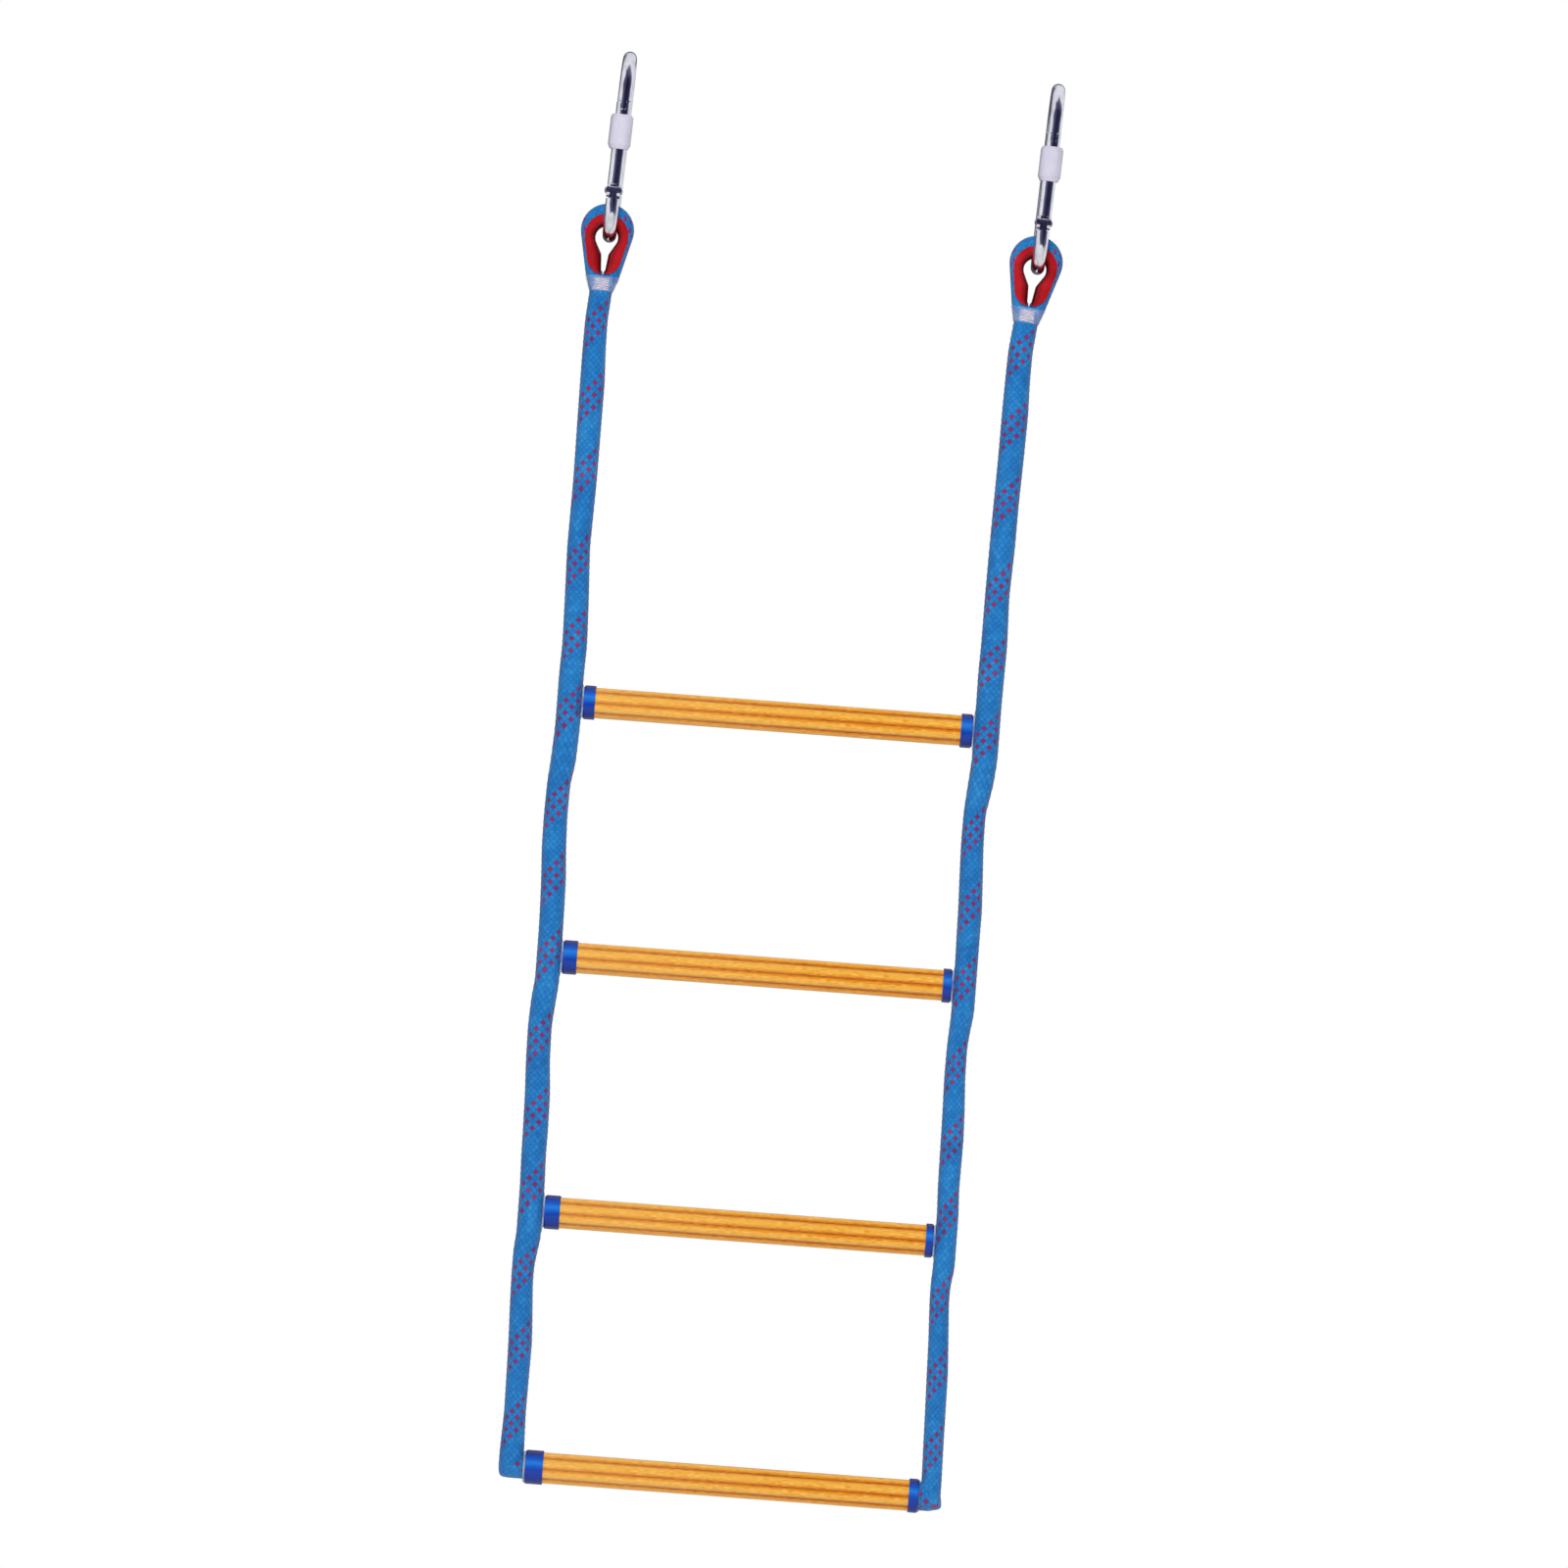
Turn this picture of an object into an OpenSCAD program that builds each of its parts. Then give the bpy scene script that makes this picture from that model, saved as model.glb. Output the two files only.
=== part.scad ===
// Escape rope ladder: two screw-lock hooks, two rope eyes on thimbles, two side ropes and four rungs.
// Millimetres. The ladder hangs down -Z from a bar that passes through both hooks.
// The rungs run along X, the front is -Y, and X = 0 is over the middle of the rungs.
// Z = 0 is the bearing line, the inside of the hooks' top bows.

/* [Ladder] */
// Clear distance between the side ropes at a rung
rope_clear = 284; // [283:1:286]
// Drop from the bearing line to the first rung
first_drop = 461; // [455:0.5:480]
// Distance from one rung to the next
rung_pitch = 184.5; // [180:0.5:200]
// Distance between the two rope eyes, centre to centre
eye_gap = 310; // [296:1:330]
// How far the eyes hang to the right of the rungs' middle
eye_shift = 7; // [-10:1:10]
// Tilt of the left and the right rope eye, tops towards +X
eye_tilt = [2, 5.5]; // [0:0.5:6]

/* [Rungs] */
// Largest diameter of the ribbed rung tube
tube_d = 23; // [22:0.5:24]
// Tube length that shows between the two end caps
tube_shown = 264.5; // [250:0.5:266]
// Bore of the tube
tube_bore = 16.8; // [16.6:0.1:17.4]
// Number of ribs round the tube
ribs = 8; // [6:1:10]
// Outside diameter of an end cap
cap_d = 24.6; // [24.6:0.1:28]

/* [Ropes] */
// Left rope's diameter at the neck and at the first, second and third rung
left_rope_d = [16.2, 17.9, 17.5, 17.8]; // [15:0.1:19]
// Right rope's diameter at the neck and at the first, second and third rung
right_rope_d = [17.4, 18.4, 16.4, 15.6]; // [15:0.1:19]
// Rope diameter through the fourth rung
bottom_d = 15.8; // [15:0.1:16.2]
// Diameter of the cross cord inside the three upper rungs
cord_d = 8; // [6:0.5:8]
// Length of cross cord that is buried in each side rope below its rung
tail_len = 50; // [30:1:55]

/* [Rope eyes] */
// Diameter of the thimble's hole at its narrowest
hole_d = 16.4; // [16.2:0.1:18]
// Depth of the thimble, front flange to back flange
thimble_depth = 19; // [17:0.5:20]
// Length of the clear shrink sleeve below the thimble
sleeve_len = 11.5; // [11:0.5:13]

/* [Hooks] */
// Diameter of the hook's steel rod
rod_d = 9.8; // [9:0.1:9.8]
// Radius of both bows, to the middle of the rod
bow_r = 26; // [25:1:28]
// Distance between the centres of the two bows
leg_len = 77; // [74:1:80]
// Lean of the hooks, tops towards +X
hook_lean = 2.4; // [0:0.1:3]
// Outside diameter of the screw sleeve
lock_d = 16.3; // [15:0.1:18]
// Length of the screw sleeve
lock_len = 25; // [22:1:26]

/* [Hidden] */
SIDES = [-1, 1];
RUNGS = [1:4];
function side_name(s) = s < 0 ? "left" : "right";
function rung_name(n) = str("rung_", n);

HOOK_PARTS = ["hook_frame", "gate_pin", "gate", "latch_pin", "gate_spring", "gate_plunger", "lock_sleeve"];
EYE_PARTS = ["thimble", "rope_eye", "eye_stitching", "shrink_sleeve"];

$fn = 64;
skin = 0.15;      // slack between a rope and the saddle that hugs it
run_fit = 0.08;   // radial clearance of a running fit
rope_sides = 10;  // sides of a rope's plain tube

// Heights, with 0 at the bearing line
function rung_z(n) = -first_drop - (n - 1) * rung_pitch;
function side_of(s, pair) = pair[s < 0 ? 0 : 1];
function rope_dia(s, n) = n == 4 ? side_of(s, corner_d) : side_of(s, [left_rope_d, right_rope_d])[n];
function rope_x(s, n) = n == 4 ? side_of(s, corner_x) : s * (rope_clear + rope_dia(s, n)) / 2 + rope_slip[n];
rope_mid = 151;   // the routes' offsets are counted outwards from here
corner_x = [-150.6, 153.2]; // the bottom corners, left and right
corner_d = [17.6, 14.4];     // the rope just above them
rope_slip = [0, 1.2, 0, 0.6]; // both ropes sit this far to the right at each rung
split_up = 6;     // a side rope is divided this far above each rung's axis
corner_up = 10;   // the bottom rope's upright ends reach this far above the fourth rung's axis
held = 19;        // a saddle holds its rope straight this far above and below its rung's axis

// Hook, in its own upright frame: origin on the bearing line, bows in the YZ plane
rod_r = rod_d / 2;
top_bow_z = rod_r - bow_r;
low_bow_z = top_bow_z - leg_len;
rod_low_z = low_bow_z - bow_r;
gate_y = -bow_r;
pin_z = low_bow_z + 5;
pin_d = 3;
pin_head_d = 5;
tongue_t = 5;
tongue_r = 4.6;
ear_r = 4.8;
gate_d = 10.3;
gate_body_d = 10;
gate_bore = 6.4;
nose_z = top_bow_z - 6.9;
gate_top_z = nose_z - 0.6;
blade_t = 3.8;
blade_low_z = nose_z - 5.9;
latch_z = nose_z - 3;
latch_d = 2.6;
lock_top_z = blade_low_z - 4.1;
spring_d = 5.8;
wire_d = 0.8;
spring_turns = 8;
plunger_d = 6;
bore_low_z = pin_z + tongue_r + 0.5;
bore_top_z = lock_top_z - lock_len + 5;
foot_z = pin_z + tongue_r + 0.65;
shoulder = 5;     // height of the plunger's shoulder, where the spring sits, above its foot

// Rope eye, in its own frame: origin at the centre of the thimble's hole
rod_side = 1.8;   // the rod lies this far to the right of the hole's centre
rod_up = 1.5;     // and this far above it
flange_r = [15.8, 12.5];
flange_z = [1.2, -14.9];
core_r = [11, 3.4];
core_z = [0.8, -20];
eye_r = [19.2, 10.2];
eye_z = [5.4, -36];
flange_t = 2;
neck_top_z = -28;
neck_low_z = neck_top_z - sleeve_len;
neck_top_r = 12;
neck_flat = 8.2;  // the neck is this deep to the front and to the back
stitch_t = 0.6;
stitch_w = 12;
shrink_t = 0.5;
sleeve_gap = 0.2; // the clear sleeve ends this far below the neck's top, clear of the thimble
function eye_x(s) = eye_shift + s * eye_gap / 2;
function hook_x(s) = eye_x(s) + rod_side + (bow_r * 2 + leg_len - rod_r) * sin(hook_lean);
eye_drop = rod_low_z * cos(hook_lean) - rod_up;
function tilt(s) = s < 0 ? eye_tilt[0] : eye_tilt[1];
function neck_x(s) = eye_x(s) + neck_low_z * sin(tilt(s));
neck_z = eye_drop + neck_low_z;

// Rungs
rung_shift = [0, 1.2, 2, 3.4, 5]; // each rung's tube sits this far to the right
socket = 3.2;     // the tube's end is this deep in a cap
tube_len = tube_shown + 2 * socket;
cap_gap = [0, 1.35, 1.35, 1.35, 1.6]; // space for a saddle or a collar between a cap and the rope
function cap_in(s, n) = tube_shown / 2 + s * rung_shift[n];
function cap_out(s, n) = s * rope_x(s, n) - rope_dia(s, n) / 2 - cap_gap[n];
saddle_arc = 24;
saddle_h = [[0, 27, 29, 31], [0, 36, 27, 27]]; // left and right, at each rung
spigot_d = 12;
cord_bend = 9;

// Side rope routes. Each bay is a list of [outward from the rung's rope position, drop from the
// bay's top, diameter]. bay_route adds the ends, and the straight runs held by the saddles.
left_bays = [
    [[0, 20, 16.2], [0, 42, 16.8], [-0.5, 65, 17.8], [-0.5, 95, 17.5], [-0.5, 137, 17], [0.5, 185, 16.5],
        [-1, 222, 17.4], [-2, 255, 17.9]],
    [[0, 50, 18.1], [2, 65, 16.8], [2.5, 90, 17], [2, 112, 17.6], [0.5, 136, 17.9], [0, 155, 17.6]],
    [[1, 35, 17.9], [2.5, 56, 17.1], [2, 82, 17.3], [0.5, 106, 18.2], [0, 132, 18.1], [0, 150, 17.8]],
    [[0.5, 32, 17.6], [1.5, 45, 16], [1.5, 58, 15.8], [0.5, 80, 16.6], [-0.5, 101, 17.1], [-0.5, 125, 16.4],
        [-0.5, 152, 15.7]]
];
right_bays = [
    [[5, 20, 17.6], [4.5, 42, 18], [4.5, 65, 19], [4, 95, 18.6], [3, 130, 18.2], [2.5, 161, 18.5],
        [1.5, 197, 17.6], [2, 233, 18.9], [1.5, 255, 19]],
    [[0, 42, 18.2], [-1.5, 53, 17.2], [-3, 65, 15.9], [-3, 88, 16.3], [-2, 112, 16.9], [-1, 136, 17.2],
        [-1, 152, 16.9]],
    [[-2, 37, 15.2], [-3, 50, 14.7], [-3, 72, 15.2], [-2, 96, 16], [-1.5, 116, 16.4], [-1.5, 135, 16],
        [-1.5, 152, 15.5]],
    [[-2, 37, 14.4], [-2, 50, 14], [-0.5, 78, 14.5], [0.5, 101, 15.3], [1, 125, 14.9], [1.5, 152, 14.6]]
];
function bay_top(n) = n == 1 ? neck_z : rung_z(n - 1) + split_up;
function bay_low(n) = rung_z(n) + (n < 4 ? split_up : corner_up);
function bay_route(s, n) = concat(
    [[n == 1 ? neck_x(s) : rope_x(s, n - 1), bay_top(n), rope_dia(s, n - 1)]],
    n == 1 ? [] : [[rope_x(s, n - 1), rung_z(n - 1) - held, rope_dia(s, n - 1)]],
    [for (p = (s < 0 ? left_bays : right_bays)[n - 1]) [s * (rope_mid + p[0]), bay_top(n) - p[1], p[2]]],
    n == 4 ? [] : [[rope_x(s, n), rung_z(n) + held, rope_dia(s, n)]],
    [[rope_x(s, n), bay_low(n), rope_dia(s, n)]]
);

// ---------- shared shapes ----------

// Outline of two circles on the Z axis of a sheet and the tangents that join them
module egg(r, z) {
    drop = z[0] - z[1];
    a = asin((r[0] - r[1]) / drop);
    translate([0, z[0]]) circle(r = r[0]);
    translate([0, z[1]]) circle(r = r[1]);
    polygon([for (k = [1, -1]) for (i = k > 0 ? [0, 1] : [1, 0])
        [k * r[i] * cos(a), z[i] - r[i] * sin(a)]]);
}

// A sheet shape drawn in X and Z, given a depth in Y about Y = 0
module slab(depth) {
    rotate([90, 0, 0]) linear_extrude(depth, center = true) children();
}

// Half a bow of the hook, over the top, from the gate side to the back
module bow() {
    rotate([90, 0, 90]) rotate_extrude(angle = 180) translate([bow_r, 0]) circle(r = rod_r);
}

module along_x(r, len) {
    rotate([0, 90, 0]) cylinder(r = r, h = len, center = true);
}

// A plain tube through horizontal rings at the points of a side rope's route
module rope_tube(route) {
    n = rope_sides;
    points = [for (p = route) for (k = [0:n - 1])
        [p[0] + p[2] / 2 * cos(k * 360 / n), p[2] / 2 * sin(k * 360 / n), p[1]]];
    last = len(route) - 1;
    faces = concat(
        [[for (k = [0:n - 1]) k]],
        [for (i = [0:last - 1]) for (k = [0:n - 1])
            [i * n + k, (i + 1) * n + k, (i + 1) * n + (k + 1) % n, i * n + (k + 1) % n]],
        [[for (k = [n - 1:-1:0]) last * n + k]]
    );
    polyhedron(points, faces);
}

module at_hook(s) {
    translate([hook_x(s), 0, 0]) rotate([0, hook_lean, 0]) children();
}

module at_eye(s) {
    translate([eye_x(s), 0, eye_drop]) rotate([0, tilt(s), 0]) children();
}

// ---------- hook ----------

// Round rod bent into a closed link, open at the gate, with a blade at the nose and a tongue at the hinge
module hook_frame() {
    color("silver") difference() {
        union() {
            translate([0, 0, top_bow_z]) bow();
            translate([0, 0, low_bow_z]) mirror([0, 0, 1]) bow();
            translate([0, bow_r, low_bow_z]) cylinder(r = rod_r, h = leg_len);
            translate([0, gate_y, nose_z]) cylinder(r = rod_r, h = top_bow_z - nose_z);
            translate([0, gate_y, 0]) nose_blade();
            translate([0, gate_y, pin_z]) along_x(tongue_r, tongue_t);
            translate([-tongue_t / 2, gate_y - tongue_r, low_bow_z - 0.7])
                cube([tongue_t, 2 * tongue_r, pin_z - low_bow_z + 0.7]);
        }
        // flats that leave room for the gate's two ears
        for (k = SIDES)
            translate([k * (tongue_t / 2 + 5), gate_y, low_bow_z + 5 - 0.7])
                cube([10, 3 * rod_r, 10], center = true);
        translate([0, gate_y, pin_z]) along_x(pin_d / 2, 20);
    }
}

// Blade under the nose, with a notch that takes the gate's latch pin
module nose_blade() {
    difference() {
        intersection() {
            translate([0, 0, blade_low_z]) cylinder(r = rod_r, h = nose_z - blade_low_z + 1);
            translate([0, 0, nose_z - 4]) cube([blade_t, 20, 12], center = true);
        }
        translate([0, 5, latch_z]) cube([10, 10 + latch_d + 0.8, latch_d + 1], center = true);
    }
}

// Round barrel with a slot for the blade at the top, a bore for the spring and a fork at the hinge
module gate() {
    color("gainsboro") translate([0, gate_y, 0]) difference() {
        union() {
            translate([0, 0, pin_z]) cylinder(d = gate_body_d, h = gate_top_z - pin_z);
            translate([0, 0, lock_top_z - lock_len - 6])
                cylinder(d = gate_d, h = gate_top_z - lock_top_z + lock_len + 6);
            translate([0, 0, pin_z]) along_x(ear_r, gate_body_d);
        }
        translate([0, 0, blade_low_z - 0.7]) slot(blade_t + 0.8, 12);
        translate([0, 0, pin_z - 10]) slot(tongue_t + 0.3, 10 + tongue_r + 0.6);
        translate([0, 0, bore_low_z]) cylinder(d = gate_bore, h = bore_top_z - bore_low_z);
        translate([0, 0, pin_z]) along_x(pin_d / 2 + run_fit, 20);
        translate([0, 0, latch_z]) along_x(latch_d / 2, 20);
    }
}

// Cut right through in Y, as wide as asked, upwards from Z = 0
module slot(width, height) {
    translate([-width / 2, -10, 0]) cube([width, 20, height]);
}

// Rivet that the gate turns on, with a domed head at each end
module gate_pin() {
    color("dimgray") translate([0, gate_y, pin_z]) {
        along_x(pin_d / 2, gate_body_d + 2);
        for (k = SIDES)
            translate([k * gate_body_d / 2, 0, 0]) rotate([0, k * 90, 0]) pin_head();
    }
}

module pin_head() {
    translate([0, 0, 0.1]) intersection() {
        cylinder(d = pin_head_d, h = 1.5);
        translate([0, 0, -1.8]) sphere(r = 3.3);
    }
}

// Cross pin in the top of the gate that locks into the nose
module latch_pin() {
    color("dimgray") intersection() {
        translate([0, gate_y, latch_z]) along_x(latch_d / 2, 20);
        translate([0, gate_y, latch_z - 5]) cylinder(d = gate_d, h = 10);
    }
}

// Spring that pushes the plunger down on the hinge tongue
module gate_spring() {
    low = foot_z + shoulder + 0.05;
    step = (bore_top_z - 0.05 - low - wire_d) / spring_turns;
    color("gray") translate([0, gate_y, low + wire_d / 2])
        coil(spring_d / 2 - wire_d / 2, wire_d / 2, step, spring_turns);
}

// Round wire wound on a cylinder, a ring of 6 points at every sixteenth of a turn
module coil(r, wire_r, rise, turns) {
    steps = turns * 16;
    n = 6;
    points = [for (i = [0:steps]) for (k = [0:n - 1])
        let (a = i * 360 / 16, q = r + wire_r * cos(k * 60))
        [q * cos(a), q * sin(a), i * rise / 16 + wire_r * sin(k * 60)]];
    faces = concat(
        [[for (k = [0:n - 1]) k]],
        [for (i = [0:steps - 1]) for (k = [0:n - 1])
            [i * n + k, (i + 1) * n + k, (i + 1) * n + (k + 1) % n, i * n + (k + 1) % n]],
        [[for (k = [n - 1:-1:0]) steps * n + k]]
    );
    polyhedron(points, faces);
}

// Plunger with a round foot that rides on the tongue
module gate_plunger() {
    color("dimgray") translate([0, gate_y, foot_z]) {
        cylinder(d1 = plunger_d - 1.6, d2 = plunger_d, h = 0.8);
        translate([0, 0, 0.8]) cylinder(d = plunger_d, h = shoulder - 0.8);
        translate([0, 0, shoulder]) cylinder(d = spring_d - 2 * wire_d - 0.6, h = 4);
    }
}

// Coated sleeve that screws up over the joint between the gate and the nose, bevelled at both ends
module lock_sleeve() {
    low_bevel = [1.6, 3.2];
    top_bevel = [1.2, 2];
    r = lock_d / 2;
    bore_r = gate_d / 2 + run_fit;
    color("lavender") translate([0, gate_y, lock_top_z - lock_len]) rotate_extrude()
        polygon([[bore_r, 0], [r - low_bevel[0], 0], [r, low_bevel[1]], [r, lock_len - top_bevel[1]],
            [r - top_bevel[0], lock_len], [bore_r, lock_len]]);
}

// ---------- rope eye ----------

// Grooved plastic eye with a keyhole: a round hole that flares to both faces and a narrow slot below it
module thimble() {
    half = thimble_depth / 2;
    color("crimson") difference() {
        union() {
            slab(thimble_depth) egg(core_r, core_z);
            for (k = SIDES)
                translate([0, k * (half - flange_t / 2), 0]) slab(flange_t) egg(flange_r, flange_z);
        }
        rotate([90, 0, 0]) cylinder(d = hole_d, h = 40, center = true);
        for (k = SIDES)
            rotate([k * 90, 0, 0]) translate([0, 0, 3])
                cylinder(d1 = hole_d, d2 = hole_d + 9.2, h = 7.5);
        slab(40) keyhole();
    }
}

// The slot below the hole, with the funnel that joins them
module keyhole() {
    polygon([[-6.9, -4.4], [6.9, -4.4], [2.6, -12], [1, -29], [-1, -29], [-2.6, -12]]);
}

// The side rope's end, laid round the thimble and spliced back into itself at the neck
module rope_eye(s) {
    depth = thimble_depth - 2 * flange_t - 0.4;
    color("steelblue") {
        difference() {
            intersection() {
                slab(depth) egg(eye_r, eye_z);
                translate([-30, -30, neck_top_z]) cube([60, 60, 80]);
            }
            slab(40) egg([core_r[0] + 0.1, core_r[1] + 0.1], core_z);
            slab(40) keyhole();
        }
        neck_form(s, 0, 0, sleeve_len);
    }
}

// The neck's tapered form, flat at the front and back, grown outwards and cut to a range of heights
module neck_form(s, grow, low, high) {
    intersection() {
        translate([0, 0, neck_low_z])
            cylinder(r1 = rope_dia(s, 0) / 2 + grow, r2 = neck_top_r + grow, h = sleeve_len);
        translate([0, 0, neck_low_z + (low + high) / 2])
            cube([60, 2 * (neck_flat + grow), high - low], center = true);
    }
}

// Rows of white thread at the front and back of the neck, sewn through both legs of the splice
module eye_stitching(s) {
    low = 2;
    high = sleeve_len - 2;
    color("white") intersection() {
        difference() {
            neck_form(s, stitch_t, low, high);
            neck_form(s, 0, 0, sleeve_len);
        }
        translate([-stitch_w / 2, -30, neck_low_z]) cube([stitch_w, 60, sleeve_len]);
    }
}

// Clear sleeve shrunk over the stitching
module shrink_sleeve(s) {
    color("ghostwhite", 0.4) difference() {
        neck_form(s, stitch_t + shrink_t, 0.5, sleeve_len - sleeve_gap);
        neck_form(s, stitch_t, 0, sleeve_len);
    }
}

// ---------- rungs ----------

// Resin tube with round lengthwise ribs that stop a foot from slipping
module rung_tube(n) {
    rib_r = 5;
    color("orange") translate([rung_shift[n], 0, rung_z(n)]) rotate([0, 90, 0]) difference() {
        linear_extrude(tube_len, center = true) {
            circle(d = tube_d - 2.6);
            for (k = [0:ribs - 1])
                rotate((k + 0.5) * 360 / ribs) translate([tube_d / 2 - rib_r, 0]) circle(r = rib_r);
        }
        cylinder(d = tube_bore, h = tube_len + 2, center = true);
    }
}

// Socket cap: the tube sits in its open end, and the cord or the rope leaves through its end wall
module rung_cap(s, n) {
    hole = n < 4 ? spigot_d : bottom_d + 0.2;
    len = cap_out(s, n) - cap_in(s, n);
    color("mediumblue") translate([s * cap_in(s, n), 0, rung_z(n)])
        rotate([0, s * 90, 0]) difference() {
            rotate_extrude() polygon([[0, 0], [cap_d / 2 - 0.2, 0], [cap_d / 2, 0.6],
                [cap_d / 2, len - 1], [cap_d / 2 - 1, len], [0, len]]);
            translate([0, 0, -1]) cylinder(d = tube_d, h = socket + 1);
            cylinder(d = hole, h = 2 * len);
        }
}

// Clear saddle that spreads a rung's load along the side rope, with a spigot for the cross cord
module rung_saddle(s, n) {
    inner = rope_dia(s, n) / 2 + skin;
    outer = rope_dia(s, n) / 2 + cap_gap[n];
    tall = side_of(s, saddle_h)[n];
    spigot_len = 4;
    color("whitesmoke", 0.6) translate([rope_x(s, n), 0, rung_z(n)]) mirror([s > 0 ? 1 : 0, 0, 0])
        difference() {
            union() {
                intersection() {
                    cylinder(r = outer, h = tall, center = true);
                    translate([0, 0, -tall / 2]) linear_extrude(tall)
                        polygon([[0, 0], [30, -30 * tan(saddle_arc)], [30, 30 * tan(saddle_arc)]]);
                }
                translate([outer - 1 + spigot_len / 2, 0, 0]) along_x(spigot_d / 2, spigot_len + 2);
            }
            cylinder(r = inner, h = tall + 2, center = true);
            along_x(cord_d / 2 + 0.2, 80);
        }
}

// Clear collar between the fourth rung's cap and the corner of the rope
module rung_collar(s) {
    thick = 1.4;
    color("whitesmoke", 0.6) translate([s * cap_out(s, 4), 0, rung_z(4)]) rotate([0, s * 90, 0])
        difference() {
            cylinder(d1 = cap_d - 1, d2 = cap_d - 3, h = thick);
            translate([0, 0, -1]) cylinder(d = bottom_d + 0.2, h = thick + 2);
        }
}

// Cross cord: through the tube and down inside both side ropes
module rung_cord(n) {
    color("royalblue") translate([0, 0, rung_z(n)])
        for (s = SIDES) {
            bend_x = abs(rope_x(s, n)) - cord_bend;
            rotate([0, s * 90, 0]) cylinder(d = cord_d, h = bend_x);
            translate([s * bend_x, 0, -cord_bend]) mirror([s < 0 ? 1 : 0, 0, 0])
                rotate([90, 0, 0]) rotate_extrude(angle = 90)
                    translate([cord_bend, 0]) circle(d = cord_d);
            translate([rope_x(s, n), 0, -tail_len]) cylinder(d = cord_d, h = tail_len - cord_bend);
        }
}

// The rope's own run through the fourth rung, with both corners
module bottom_rope() {
    color("steelblue") translate([0, 0, rung_z(4)])
        for (s = SIDES) {
            d = side_of(s, corner_d);
            rotate([0, s * 90, 0]) cylinder(d = bottom_d, h = s * rope_x(s, 4));
            translate([rope_x(s, 4), 0, 0]) sphere(d = max(d, bottom_d));
            translate([rope_x(s, 4), 0, 0]) cylinder(d = d, h = corner_up);
        }
}

module side_rope(s, n) {
    color("dodgerblue") rope_tube(bay_route(s, n));
}

// ---------- the assembly ----------

for (s = SIDES) {
    side = side_name(s);
    at_hook(s) hook_frame();
    at_hook(s) gate_pin();
    at_hook(s) gate();
    at_hook(s) latch_pin();
    at_hook(s) gate_spring();
    at_hook(s) gate_plunger();
    at_hook(s) lock_sleeve();
    at_eye(s) thimble();
    at_eye(s) rope_eye(s);
    at_eye(s) eye_stitching(s);
    at_eye(s) shrink_sleeve(s);
    rung_collar(s);
    for (n = RUNGS)
        side_rope(s, n);
    for (n = RUNGS)
        rung_cap(s, n);
    for (n = [1:3])
        rung_saddle(s, n);
}
for (n = RUNGS)
    rung_tube(n);
for (n = [1:3])
    rung_cord(n);
bottom_rope();
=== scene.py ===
import math

import bpy
import numpy as np
from mathutils import Matrix, Vector


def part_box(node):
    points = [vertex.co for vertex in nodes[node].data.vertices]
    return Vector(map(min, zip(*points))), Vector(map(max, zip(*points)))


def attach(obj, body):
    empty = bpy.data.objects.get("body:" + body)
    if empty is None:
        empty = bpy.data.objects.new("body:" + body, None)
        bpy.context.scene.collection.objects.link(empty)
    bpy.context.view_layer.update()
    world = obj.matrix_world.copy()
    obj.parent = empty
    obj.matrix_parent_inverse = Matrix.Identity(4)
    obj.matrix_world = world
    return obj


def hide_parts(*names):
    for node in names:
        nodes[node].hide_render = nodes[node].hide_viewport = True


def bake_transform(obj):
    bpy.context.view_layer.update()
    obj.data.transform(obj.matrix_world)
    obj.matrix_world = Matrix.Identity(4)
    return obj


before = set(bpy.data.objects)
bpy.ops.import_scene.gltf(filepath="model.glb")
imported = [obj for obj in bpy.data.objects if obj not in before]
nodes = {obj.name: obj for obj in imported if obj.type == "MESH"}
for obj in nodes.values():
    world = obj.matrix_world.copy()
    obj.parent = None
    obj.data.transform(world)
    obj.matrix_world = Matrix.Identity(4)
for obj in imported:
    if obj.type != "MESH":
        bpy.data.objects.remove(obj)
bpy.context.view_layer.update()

# Metres in the ladder's frame: +X along the rungs, +Z up, the front is -Y, 0 at the bearing line.
MM = 0.001


# ---- camera

ROLL = math.radians(4.3)     # the ladder leans in the view, tops to the right
FIELD = 1.132                # width of the view at the rope plane
LENS, SENSOR = 200.0, 36.0
VIEW_CENTRE = (0.0092, -0.5091)

camera_data = bpy.data.cameras.new("camera")
camera_data.lens = LENS
camera_data.sensor_width = SENSOR
camera_data.clip_end = 100.0
camera = bpy.data.objects.new("camera", camera_data)
bpy.context.scene.collection.objects.link(camera)
right = Vector((math.cos(ROLL), 0, math.sin(ROLL)))
up = Vector((-math.sin(ROLL), 0, math.cos(ROLL)))
back = Vector((0, -1, 0))
place = Matrix((right, up, back)).transposed().to_4x4()
place.translation = (VIEW_CENTRE[0], -FIELD * LENS / SENSOR, VIEW_CENTRE[1])
camera.matrix_world = place
bpy.context.scene.camera = camera
bpy.context.scene.view_settings.view_transform = "Standard"


# ---- shader helpers

MIX_FACTOR, MIX_FIRST, MIX_SECOND, MIX_RESULT = 0, 6, 7, 2     # a colour Mix node's sockets


def set_stops(ramp, stops):
    """stops are (position, colour or grey) in rising order."""
    points = ramp.elements
    while len(points) < len(stops):
        points.new(0.5)
    for point, (at, colour) in zip(points, stops):
        point.position = at
        point.color = (*colour, 1) if isinstance(colour, tuple) else (colour, colour, colour, 1)


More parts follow.
